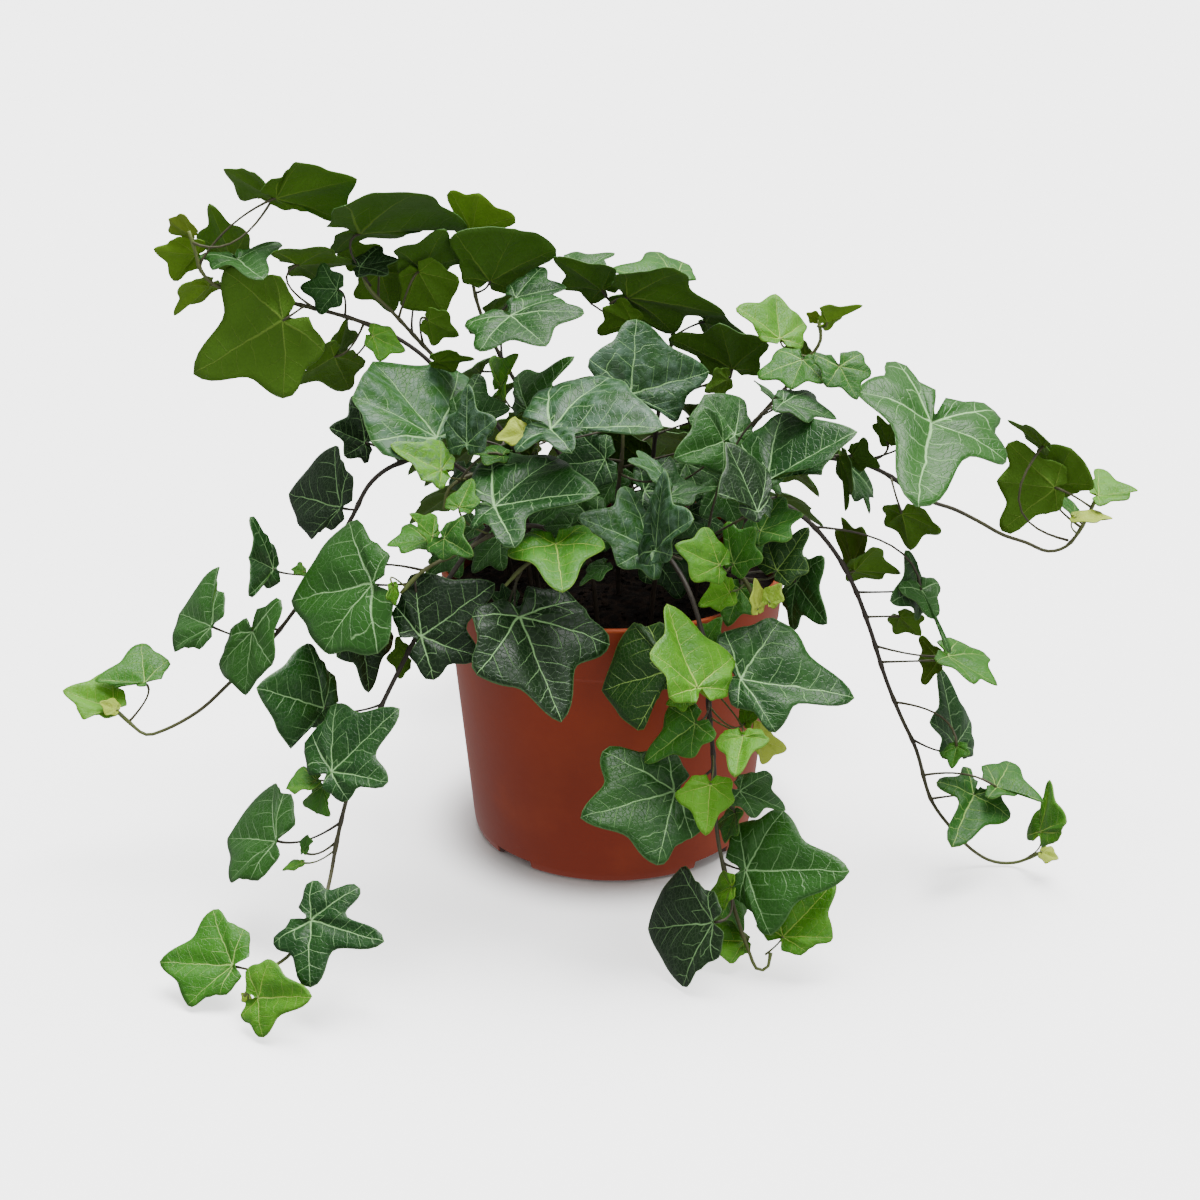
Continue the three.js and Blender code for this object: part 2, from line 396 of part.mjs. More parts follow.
function solidOf(geometry) {
  const bare = geometry.clone();
  bare.deleteAttribute("normal");
  bare.deleteAttribute("uv");
  const merged = mergeVertices(bare, 1e-4);
  const mesh = new wasm.Mesh({
    numProp: 3,
    vertProperties: new Float32Array(merged.attributes.position.array),
    triVerts: new Uint32Array(merged.index.array),
  });
  return new wasm.Manifold(mesh);
}

function geometryOf(solid) {
  const mesh = solid.getMesh();
  const geometry = new THREE.BufferGeometry();
  geometry.setAttribute("position", new THREE.BufferAttribute(mesh.vertProperties, 3));
  geometry.setIndex(new THREE.BufferAttribute(mesh.triVerts, 1));
  geometry.computeVertexNormals();
  return geometry;
}

function ring(radius, sides) {
  const corners = [];
  for (let i = 0; i < sides; i += 1) {
    const turn = (i + 0.5) * (2 * Math.PI) / sides;
    corners.push(new THREE.Vector2(radius * Math.cos(turn), radius * Math.sin(turn)));
  }
  return new THREE.Shape(corners);
}

function stalkTube(course, margin, isPart) {
  const sides = STALK_SIDES + (margin > 0 ? 1 : 0);
  return tube(course, STALK_RADIUS + margin, sides, isPart ? STALK_STEPS : STALK_STEPS - 1);
}

function tube(curve, radius, sides, steps) {
  const options = { steps, extrudePath: curve, bevelEnabled: false };
  return solidOf(new THREE.ExtrudeGeometry(ring(radius, sides), options));
}

function meets(one, other) {
  if (!boxesMeet(one.box, other.box)) {
    return false;
  }
  return one.solid.intersect(other.solid).volume() > 1e-6;
}

function boxesMeet(one, other) {
  return [0, 1, 2].every((i) => one.min[i] <= other.max[i] && other.min[i] <= one.max[i]);
}

function obstacle(solid, owner, kind) {
  return { solid, owner, kind, box: solid.boundingBox() };
}

// ---- pot and soil -------------------------------------------------------------------------

// A lathe turns about Y; this stands it on +Z.
function standing(geometry) {
  return geometry.rotateX(Math.PI / 2);
}

function wallRadius(height) {
  return BASE_RADIUS + (RIM_RADIUS - BAND_STEP - BASE_RADIUS) * (height / POT_HEIGHT);
}

function potShell(wall) {
  const bandFoot = POT_HEIGHT - BAND_HEIGHT;
  const floorTop = FOOT_HEIGHT + wall;
  const profile = [
    [0, FOOT_HEIGHT],
    [FOOT_INNER_RADIUS, FOOT_HEIGHT],
    [FOOT_INNER_RADIUS, 0],
    [BASE_RADIUS - BOTTOM_ROUND, 0],
    [BASE_RADIUS - BOTTOM_ROUND * 0.2, BOTTOM_ROUND * 0.4],
    [wallRadius(BOTTOM_ROUND * 1.5), BOTTOM_ROUND * 1.5],
    [wallRadius(bandFoot), bandFoot],
    [wallRadius(bandFoot) + BAND_STEP, bandFoot + 1],
    [RIM_RADIUS, POT_HEIGHT - 0.8],
    [RIM_RADIUS - 0.6, POT_HEIGHT],
    [RIM_RADIUS - BAND_STEP - wall, POT_HEIGHT],
    [wallRadius(floorTop) - wall, floorTop],
    [0, floorTop],
  ];
  const points = profile.map(([radius, height]) => new THREE.Vector2(radius, height));
  return solidOf(standing(new THREE.LatheGeometry(points, POT_SEGMENTS)));
}

function footNotch(turn) {
  const depth = BASE_RADIUS - FOOT_INNER_RADIUS + 4;
  const notch = new THREE.BoxGeometry(FOOT_NOTCH_WIDTH, depth, 2 * FOOT_NOTCH_HEIGHT);
  notch.translate(0, -FOOT_INNER_RADIUS - depth / 2 + 2, 0);
  return solidOf(notch.rotateZ(turn));
}

function drainHole(turn) {
  const hole = new THREE.CylinderGeometry(DRAIN_RADIUS, DRAIN_RADIUS, 4 * FOOT_HEIGHT, 8);
  standing(hole).translate(0, -DRAIN_RING_RADIUS, 0);
  return solidOf(hole.rotateZ(turn));
}

function makePot() {
  let pot = potShell(POT_WALL);
  for (let i = 0; i < FOOT_NOTCHES; i += 1) {
    pot = pot.subtract(footNotch((i + 0.5) * (2 * Math.PI) / FOOT_NOTCHES));
  }
  for (let i = 0; i < DRAIN_HOLES; i += 1) {
    pot = pot.subtract(drainHole(i * (2 * Math.PI) / DRAIN_HOLES));
  }
  return pot;
}

function makeSoil(stems) {
  const bottom = FOOT_HEIGHT + POT_WALL + GAP;
  const inset = POT_WALL + 2 * GAP;
  const profile = [
    [0, bottom],
    [wallRadius(bottom) - inset, bottom],
    [wallRadius(SOIL_TOP) - inset, SOIL_TOP],
    [wallRadius(SOIL_TOP) * 0.6, SOIL_TOP + SOIL_HEAP * 0.7],
    [0, SOIL_TOP + SOIL_HEAP],
  ];
  const points = profile.map(([radius, height]) => new THREE.Vector2(radius, height));
  let soil = solidOf(standing(new THREE.LatheGeometry(points, SOIL_SEGMENTS)));
  for (const stem of stems) {
    soil = soil.subtract(stem.cleared);
  }
  return soil;
}

// ---- stems --------------------------------------------------------------------------------

function makeStem([name, [x, y], course]) {
  const rooted = new THREE.Vector3(x, y, SOIL_TOP - ROOT_DEPTH);
  const collar = new THREE.Vector3(x, y, SOIL_TOP + SOIL_HEAP + 2);
  const places = course.map(([right, up, nearness]) => seen([right, up], nearness));
  const curve = new THREE.CatmullRomCurve3([rooted, collar, ...places], false, "centripetal");
  const steps = Math.ceil(curve.getLength() / STEM_STEP_LENGTH);
  return {
    name,
    line: curve.getSpacedPoints(steps),
    length: curve.getLength(),
    solid: tube(curve, STEM_RADIUS, STEM_SIDES, steps),
    cleared: tube(curve, STEM_RADIUS + GAP, STEM_SIDES, steps),
  };
}

// A point of the stem's centre line as it is built, with straight steps between its rings.
function pointAlong(stem, share) {
  const last = stem.line.length - 1;
  const place = THREE.MathUtils.clamp(share, 0, 1) * last;
  const i = Math.min(Math.floor(place), last - 1);
  return stem.line[i].clone().lerp(stem.line[i + 1], place - i);
}

function nearestShare(stem, point) {
  let best = 0;
  let bestDistance = Infinity;
  for (let i = 0; i <= 240; i += 1) {
    const distance = pointAlong(stem, i / 240).distanceTo(point);
    if (distance < bestDistance) {
      best = i / 240;
      bestDistance = distance;
    }
  }
  return best;
}

// ---- leaves -------------------------------------------------------------------------------

// The way the blade's upper face points, from its base, tip and side lobes as the eye sees them.
// A leaf of the plan shape is turned and tilted until it would look like that.
function bladeNormal(base, tip, sides, face, nearness) {
  const share = depthShare(base, nearness);
  const toEye = EYE.clone().sub(seen(base, nearness)).normalize();
  const right = new THREE.Vector3(1, 0, 0).addScaledVector(toEye, -toEye.x).normalize();
  const up = toEye.clone().cross(right);
  const onView = ([x, y]) => new THREE.Vector2(x - base[0], y - base[1]).multiplyScalar(share);
  const mirror = face === "under" ? -1 : 1;
  const t = onView(tip);
  const left = sides.map(onView).find((lobe) => t.cross(lobe) * mirror > 0);
  const other = sides.map(onView).find((lobe) => t.cross(lobe) * mirror <= 0);
  const [along, across] = viewAxes(t, left, other, mirror);
  const q = (across.lengthSq() - along.lengthSq()) * TILT_SHARE;
  const p = along.dot(across) * TILT_SHARE;
  const depthAlong = Math.sqrt((q + Math.hypot(q, 2 * p)) / 2);
  const depthAcross = depthAlong > 1e-6 ? -p / depthAlong : Math.sqrt(Math.max(-q, 0));
  const normals = [1, -1].map((sign) => {
    const e1 = right.clone().multiplyScalar(along.x).addScaledVector(up, along.y);
    const e2 = right.clone().multiplyScalar(across.x).addScaledVector(up, across.y);
    e1.addScaledVector(toEye, sign * depthAlong);
    e2.addScaledVector(toEye, sign * depthAcross);
    return e1.cross(e2).normalize();
  });
  const normal = normals[0].z >= normals[1].z ? normals[0] : normals[1];
  const facing = normal.dot(toEye);
  if (Math.abs(facing) < LEAST_FACING) {
    normal.addScaledVector(toEye, mirror * LEAST_FACING - facing).normalize();
  }
  return normal;
}

// The view's image of the blade's own axes: along its middle and towards its left side.
function viewAxes(t, left, other, mirror) {
  const [reach, width] = SIDE_LOBE;
  const square = reach * reach + width * width;
  if (left && other) {
    const sum = left.clone().add(other).multiplyScalar(reach).add(t);
    const along = sum.divideScalar(1 + 2 * reach * reach);
    const across = left.clone().sub(other).divideScalar(2 * width);
    return [along, across];
  }
  if (left) {
    return [t.clone(), left.clone().addScaledVector(t, -reach).divideScalar(width)];
  }
  if (other) {
    return [t.clone(), t.clone().multiplyScalar(reach).sub(other).divideScalar(width)];
  }
  return [t.clone(), new THREE.Vector2(-t.y, t.x).multiplyScalar(mirror * Math.sqrt(square))];
}

// Where a lobe ends in the blade's own plane, kept within the range that leaves grow to.
function lobeEnd(found, plan) {
  if (!found) {
    return new THREE.Vector2(...plan);
  }
  const planReach = Math.hypot(...plan);
  const [least, most] = LOBE_RANGE;
  return found.clone().clampLength(least * planReach, most * planReach);
}

// Between two lobes: that share of the way out to the straight line that joins their ends.
function bay(one, other, reach) {
  const turn = (one.angle() + other.angle()) / 2;
  const spread = Math.abs(one.angle() - other.angle());
  const [a, b] = [one.length(), other.length()];
  const radius = reach * 2 * a * b * Math.cos(spread / 2) / (a + b);
  return new THREE.Vector2(radius * Math.cos(turn), radius * Math.sin(turn));
}

// Where the base lobe has come round towards the stalk.
function heel(base) {
  const turn = (base.angle() + Math.PI) / 2;
  const radius = HEEL_REACH * base.length();
  return new THREE.Vector2(radius * Math.cos(turn), radius * Math.sin(turn));
}

// The middle of the rounded flank between a lobe's end and a bay.
function shoulder(lobe, dip, [back, aside]) {
  const gap = lobe.distanceTo(dip);
  const axis = lobe.clone().normalize();
  const radial = dip.clone().normalize();
  const towards = dip.clone().sub(lobe);
  const away = towards.clone().negate();
  towards.addScaledVector(axis, -towards.dot(axis)).normalize();
  away.addScaledVector(radial, -away.dot(radial)).normalize();
  const nearLobe = lobe.clone().addScaledVector(axis, -gap * back);
  nearLobe.addScaledVector(towards, gap * aside);
  const nearDip = dip.clone().addScaledVector(away, gap * BAY_SOFTNESS);
  return new THREE.CubicBezierCurve(lobe, nearLobe, nearDip, dip).getPoint(0.5);
}

// One side of the outline, from the tip to the base, with y counted away from the middle.
function halfOutline(side, base, reach, full) {
  const tip = new THREE.Vector2(1, 0);
  const upper = bay(side, tip, reach);
  const lower = bay(base, side, (1 + reach) / 2);
  const shoulders = [shoulder(tip, upper, TIP_ROUNDING), upper];
  if (!full) {
    return [...shoulders, side, base, heel(base)];
  }
  const upperShoulder = shoulder(side, upper, SIDE_ROUNDING);
  const lowerShoulder = shoulder(side, lower, SIDE_ROUNDING);
  return [...shoulders, upperShoulder, side, lowerShoulder, lower, base, heel(base)];
}

function outlineOf(leaf) {
  const { age, length, isPart: full } = leaf;
  const mirrored = (found) => found && new THREE.Vector2(found.x, -found.y);
  const rightSide = mirrored(leaf.rightSide) ?? leaf.leftSide;
  const leftSide = leaf.leftSide ?? rightSide;
  const leftBase = lobeEnd(leaf.leftBase, BASE_LOBE);
  const rightBase = lobeEnd(mirrored(leaf.rightBase), BASE_LOBE);
  const leftReach = leaf.leftBay ?? BAY_REACH[age];
  const rightReach = leaf.rightBay ?? BAY_REACH[age];
  const left = halfOutline(lobeEnd(leftSide, SIDE_LOBE), leftBase, leftReach, full);
  const right = halfOutline(lobeEnd(rightSide, SIDE_LOBE), rightBase, rightReach, full);
  const outline = [new THREE.Vector2(1, 0), ...left, new THREE.Vector2(...NOTCH)];
  right.reverse().forEach((corner) => outline.push(new THREE.Vector2(corner.x, -corner.y)));
  return outline.map((corner) => corner.clone().multiplyScalar(length));
}

// A leaf as it grows where the eye sees it.
function readLeaf([stem, age, face, nearness, base, tip, sides, bases, bays = []]) {
  const normal = bladeNormal(base, tip, sides, face, nearness);
  const origin = seen(base, nearness);
  const along = seenOnPlane(tip, origin, normal).sub(origin);
  const leaf = { stem, age, origin, normal, length: along.length(), along: along.normalize() };
  const across = normal.clone().cross(leaf.along);
  const inPlane = (place) => {
    const reach = seenOnPlane(place, origin, normal).sub(origin);
    return new THREE.Vector2(reach.dot(leaf.along), reach.dot(across)).divideScalar(leaf.length);
  };
  sides.map(inPlane).forEach((place, i) => {
    leaf[place.y > 0 ? "leftSide" : "rightSide"] = place;
    leaf[place.y > 0 ? "leftBay" : "rightBay"] = bays[i];
  });
  for (const place of bases.map(inPlane)) {
    leaf[place.y > 0 ? "leftBase" : "rightBase"] = place;
  }
  return leaf;
}

// The leaves that the eye can't see: alternate sides of the stem, hanging outward, smaller
// towards its tip.
function growLeaves([stemName, age, count, from, to, length], stems) {
  const stem = stems.find(({ name }) => name === stemName);
  const leaves = [];
  for (let i = 0; i < count; i += 1) {
    const share = from + (to - from) * (i / (count - 1));
    const node = pointAlong(stem, share);
    const flow = pointAlong(stem, share + 0.03).sub(pointAlong(stem, share - 0.03)).normalize();
    const outward = new THREE.Vector3(node.x, node.y, 0).normalize();
    const side = outward.clone().cross(WORLD_UP).multiplyScalar(i % 2 ? 1 : -1);
    const size = length * (1.05 - 0.3 * (i / count));
    const origin = node.clone().addScaledVector(side, size * 0.35);
    origin.addScaledVector(outward, size * 0.4).addScaledVector(WORLD_UP, size * 0.2);
    const normal = outward.clone().addScaledVector(WORLD_UP, 0.7 + 0.15 * (i % 3));
    normal.addScaledVector(side, 0.25).normalize();
    const along = side.clone().addScaledVector(flow, 0.5).addScaledVector(WORLD_UP, -0.5);
    along.addScaledVector(normal, -along.dot(normal)).normalize();
    leaves.push({ stem: stemName, age, origin, normal, length: size, along });
  }
  return leaves;
}

function bladeSolid(leaf, thickness, margin) {
  const middle = leaf.length * 0.4;
  const grow = 1 + margin / leaf.length * 3;
  const corners = outlineOf(leaf).map(
    ({ x, y }) => new THREE.Vector2(middle + (x - middle) * grow, y * grow));
  const options = { depth: thickness, bevelEnabled: false };
  const plate = new THREE.ExtrudeGeometry(new THREE.Shape(corners), options);
  plate.translate(0, 0, -thickness / 2);
  const across = leaf.normal.clone().cross(leaf.along);
  const stance = new THREE.Matrix4().makeBasis(leaf.along, across, leaf.normal);
  stance.setPosition(leaf.origin);
  return solidOf(plate.applyMatrix4(stance));
}

// Moves a leaf along the line of sight, so that it still looks the same from the eye.
function shifted(leaf, amount) {
  const ray = leaf.origin.clone().sub(EYE).normalize();
  return { ...leaf, origin: leaf.origin.clone().addScaledVector(ray, -amount) };
}

const SHIFTS = [0, 1, -1, 2, -2, 3, -3, 4, -4, 5, -5, 6, -6, 8, -8, 10, -10, 12, -12, 15, -15, 18];

// Finds the first place along the line of sight where the blade is clear of everything.
function settle(leaf, obstacles) {
  for (const margin of [ROOMY_GAP, GAP]) {
    for (const amount of SHIFTS) {
      const moved = shifted(leaf, amount);
      const fat = bladeSolid(moved, BLADE_THICKNESS + 2 * margin, margin);
      const blade = obstacle(fat, leaf.stem, "blade");
      if (blade.box.min[2] > GAP && !obstacles.some((other) => meets(blade, other))) {
        return moved;
      }
    }
  }
  return null;
}

// ---- stalks -------------------------------------------------------------------------------

// How far rootward of the nearest point of the stem a stalk may start, and how far behind and
// below its blade it may bow, as shares of its reach.
const STALK_STARTS = [0.35, 0.6, 0.1, 0.2, 0.5, 0.05, 0.7, -0.15, 0.9, 1.2, -0.4, 1.6, -0.8];
const STALK_BOWS = [[0.3, 0.25], [0.15, 0.1], [0.5, 0.1], [0.1, 0.5], [0.4, -0.2], [-0.1, 0.3],
  [0.7, 0.3], [0, 0.9], [-0.3, -0.2]];

// The courses a stalk may take from its stem to its blade, the plainest first.
function stalkCourses(leaf, stem) {
  const courses = [];
  const nearest = nearestShare(stem, leaf.origin);
  const distance = pointAlong(stem, nearest).distanceTo(leaf.origin);
  for (const back of STALK_STARTS) {
    const from = pointAlong(stem, nearest - (back * distance + 1) / stem.length);
    const span = from.distanceTo(leaf.origin);
    for (const [behind, below] of STALK_BOWS) {
      const control = leaf.origin.clone().addScaledVector(leaf.along, -behind * span);
      control.addScaledVector(leaf.normal, -below * span);
      courses.push(new THREE.QuadraticBezierCurve3(from, control, leaf.origin));
    }
  }
  return courses;
}

const COSTS = { stem: 100, body: 100, stalk: 20, blade: 1, kink: 60 };

// Whether a stalk's first or last step turns off so far from its end that the tube would fold.
function isKinked(course, steps) {
  const [first, last] = [1 / steps, 1 - 1 / steps].map((share) => course.getPointAt(share));
  const setOut = first.sub(course.getPointAt(0)).normalize().dot(course.getTangentAt(0));
  const arrive = course.getPointAt(1).sub(last).normalize().dot(course.getTangentAt(1));
  return Math.min(setOut, arrive) < LEAST_STRAIGHTNESS;
}

function chooseStalk(leaf, stem, obstacles) {
  let best = null;
  let least = Infinity;
  for (const course of stalkCourses(leaf, stem)) {
    const way = obstacle(stalkTube(course, GAP, leaf.isPart), leaf.stem, "stalk");
    const hits = obstacles.filter((other) => other.leaf !== leaf && meets(way, other));
    const steps = leaf.isPart ? STALK_STEPS : STALK_STEPS - 1;
    const own = (way.box.min[2] < GAP ? COSTS.body : 0) + (isKinked(course, steps) ? COSTS.kink : 0);
    const cost = hits.reduce((sum, hit) => sum + costOf(hit, leaf), own);
    if (cost < least) {
      best = course;
      least = cost;
    }
    if (cost === 0) {
      break;
    }
  }
  return best;
}

// A stalk may run into its own stem, and the joined leaves of one stem may share its start.
function costOf(hit, leaf) {
  if (hit.kind === "stem" && hit.owner === leaf.stem) {
    return 0;
  }
  const joined = hit.owner === leaf.stem && !leaf.isPart && !hit.leaf?.isPart;
  return joined ? 0.5 : COSTS[hit.kind];
}

// ---- the plant ----------------------------------------------------------------------------

// The largest leaves first: each takes the nearest free place to where the eye sees it.
function placeLeaves(leaves, obstacles) {
  const placed = [];
  for (const leaf of leaves) {
    const moved = settle(leaf, obstacles);
    if (moved) {
      moved.blade = obstacle(bladeSolid(moved, BLADE_THICKNESS, 0), leaf.stem, "blade");
      moved.blade.leaf = moved;
      obstacles.push(moved.blade);
      placed.push(moved);
    }
  }
  return placed;
}

function placeStalks(leaves, stems, obstacles) {
  for (const leaf of leaves) {
    const stem = stems.find(({ name }) => name === leaf.stem);
    const course = chooseStalk(leaf, stem, obstacles);
    leaf.stalk = stalkTube(course, 0, leaf.isPart);
    obstacles.push({ ...obstacle(leaf.stalk, leaf.stem, "stalk"), leaf });
  }
}

function growPlant() {
  const pot = makePot();
  const stems = STEMS.map(makeStem);
  const soil = makeSoil(stems);
  const leaves = [
    ...LEAVES.map(readLeaf),
    ...HIDDEN.flatMap((row) => growLeaves(row, stems)),
  ];
  leaves.sort((one, other) => other.length - one.length);
  leaves.forEach((leaf, i) => {
    leaf.isPart = i < LEAF_PARTS;
  });
  const obstacles = [
    obstacle(pot, "pot", "body"),
    obstacle(soil, "soil", "body"),
    ...stems.map((stem) => obstacle(stem.cleared, stem.name, "stem")),
  ];
  const placed = placeLeaves(leaves, obstacles);
  placeStalks(placed, stems, obstacles);
  return { pot, soil, stems, leaves: placed };
}

// The one body that a union makes, without the pockets that it closes in.
function oneBody(solid) {
  const bodies = solid.decompose();
  bodies.sort((one, other) => other.volume() - one.volume());
  return bodies[0];
}

// A stem with the small leaves that are joined to it.
function stemPart(stem, leaves) {
  let solid = stem.solid;
  for (const leaf of leaves) {
    solid = solid.add(leaf.stalk).add(leaf.blade.solid);
  }
  return oneBody(solid);
}

function leafPart(leaf, stem) {
  return oneBody(leaf.blade.solid.add(leaf.stalk.subtract(stem.cleared)));
}

// ---- materials ----------------------------------------------------------------------------

const POT_PLASTIC = { color: "#6b2f1d", roughness: 0.55, metalness: 0 };
const POTTING_MIX = { color: "#2a1c12", roughness: 1, metalness: 0 };
const STEM_BARK = { color: "#4a5230", roughness: 0.8, metalness: 0 };
const LEAF_COLOURS = {
  old: { color: "#2f4d2c", roughness: 0.42, metalness: 0 },
  mid: { color: "#4c7030", roughness: 0.5, metalness: 0 },
  young: { color: "#7aa83a", roughness: 0.5, metalness: 0 },
  bud: { color: "#a3b84a", roughness: 0.5, metalness: 0 },
};

function addPart(group, name, solid, finish) {
  const mesh = new THREE.Mesh(geometryOf(solid), new THREE.MeshStandardMaterial(finish));
  mesh.name = name;
  group.add(mesh);
}

function pottedIvy() {
  const { pot, soil, stems, leaves } = growPlant();
  const group = new THREE.Group();
  group.name = "potted_ivy";
  addPart(group, "pot", pot, POT_PLASTIC);
  addPart(group, "soil", soil, POTTING_MIX);
  for (const stem of stems) {
    const own = leaves.filter((leaf) => leaf.stem === stem.name);
    addPart(group, stem.name, stemPart(stem, own.filter((leaf) => !leaf.isPart)), STEM_BARK);
    own.filter((leaf) => leaf.isPart).forEach((leaf, i) => {
      addPart(group, `${stem.name}_leaf_${i + 1}`, leafPart(leaf, stem), LEAF_COLOURS[leaf.age]);
    });
  }
  return group;
}

export default pottedIvy();
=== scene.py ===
"""A potted ivy: lobed leaves on trailing stems, in a moulded nursery pot.

Metres, +Z up, the origin on the ground under the middle of the pot, -Y towards the camera.
The layout below is in millimetres, as the solids' own source has it.
"""
import math

import bpy
import numpy as np
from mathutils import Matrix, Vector, kdtree, noise


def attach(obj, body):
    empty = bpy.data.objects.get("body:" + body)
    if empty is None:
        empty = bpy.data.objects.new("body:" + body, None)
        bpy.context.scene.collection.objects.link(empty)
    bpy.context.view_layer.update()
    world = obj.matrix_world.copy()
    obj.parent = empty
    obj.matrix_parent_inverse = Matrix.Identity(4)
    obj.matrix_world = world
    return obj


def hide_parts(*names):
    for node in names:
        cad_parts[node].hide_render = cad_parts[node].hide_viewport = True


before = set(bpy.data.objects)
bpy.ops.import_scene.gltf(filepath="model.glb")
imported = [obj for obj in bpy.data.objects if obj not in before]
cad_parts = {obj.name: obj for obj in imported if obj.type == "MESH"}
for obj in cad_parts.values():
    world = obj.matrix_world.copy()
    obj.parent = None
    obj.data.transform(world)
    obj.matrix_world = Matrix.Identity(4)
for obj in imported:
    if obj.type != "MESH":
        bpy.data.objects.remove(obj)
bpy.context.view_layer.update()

MM = 0.001

# ---- sizes, in millimetres ----------------------------------------------------------------

POT_HEIGHT = 110
RIM_RADIUS = 65
BASE_RADIUS = 53.5
POT_WALL = 1.4
BAND_HEIGHT = 22
BAND_STEP = 0.8
FOOT_HEIGHT = 3
FOOT_INNER_RADIUS = 44
FOOT_NOTCH_WIDTH = 18
FOOT_NOTCH_HEIGHT = 4
FOOT_NOTCHES = 4
DRAIN_RADIUS = 4
DRAIN_RING_RADIUS = 30
DRAIN_HOLES = 6

SOIL_TOP = 97
SOIL_HEAP = 3
SOIL_HEAP_RADIUS = 57
SOIL_FOOT = 5.0
SOIL_GAP = 0.5
SOIL_CRUMBS = 520
ROOT_DEPTH = 14

STEM_RADIUS = 1
STEM_STEP_LENGTH = 14
STALK_RADIUS = 0.6
BLADE_THICKNESS = 0.6
BLADE_SKIN = 0.36
PLAN_SPAN = 2.5

SIDE_LOBE = (0.44, 0.62)
BASE_LOBE = (-0.08, 0.42)
NOTCH = (-0.05, 0)
HEEL_REACH = 0.55
BAY_REACH = {"old": 0.84, "mid": 0.87, "young": 0.91, "bud": 0.95}
LOBE_RANGE = (0.4, 1.7)
LEAST_FACING = 0.35
TILT_SHARE = 0.7
SHIFTS = (0, 1, -1, 2, -2, 3, -3, 4, -4, 5, -5, 6, -6, 8, -8, 10, -10, 12, -12, 15, -15, 18)
STALK_STARTS = (0.35, 0.6, 0.1, 0.2, 0.5, 0.05, 0.7, -0.15, 0.9, 1.2, -0.4, 1.6, -0.8)
STALK_BOWS = ((0.3, 0.25), (0.15, 0.1), (0.5, 0.1), (0.1, 0.5), (0.4, -0.2), (-0.1, 0.3),
              (0.7, 0.3), (0, 0.9), (-0.3, -0.2))

# The camera: where it stands, how far it looks down, and its lens for a square frame.
EYE = np.array([-4.85, -1002.3, 545.8])
VIEW_PITCH = math.radians(24.33)
LENS = 87.1
SENSOR = 36

# The light: a soft one overhead, a round one at the front and the room's. The ground glows too,
# in full from that radius outward, with less glow nearer the pot as a painted shadow round its
# foot, and reaches that far from the pot's axis.
OVERHEAD_STRENGTH = 8.8
OVERHEAD_SPREAD = math.radians(50)
OVERHEAD_FROM = (0.15, 0.28, 1)
FILL_POWER = 13.0
FILL_PLACE = (1.2, -1.8, 0.9)
FILL_SIZE = 1.2
WORLD_STRENGTH = 0.65
GROUND_GLOW = 1.5
PAINTED_SHADOW_RADIUS = 80
GROUND_REACH = 9e3
GROUND_LEVEL = -0.02

# The grey of a painted sheen: the overhead light's reflection on the glossiest blades.
PAINTED_SHEEN_GREY = (0.085, 0.155, 0.105)

# ---- layout -------------------------------------------------------------------------------
# A place is [right, up] on the sight plane, which faces the eye through the origin, and a
# nearness: how far in front of the pot's axis the thing itself is.

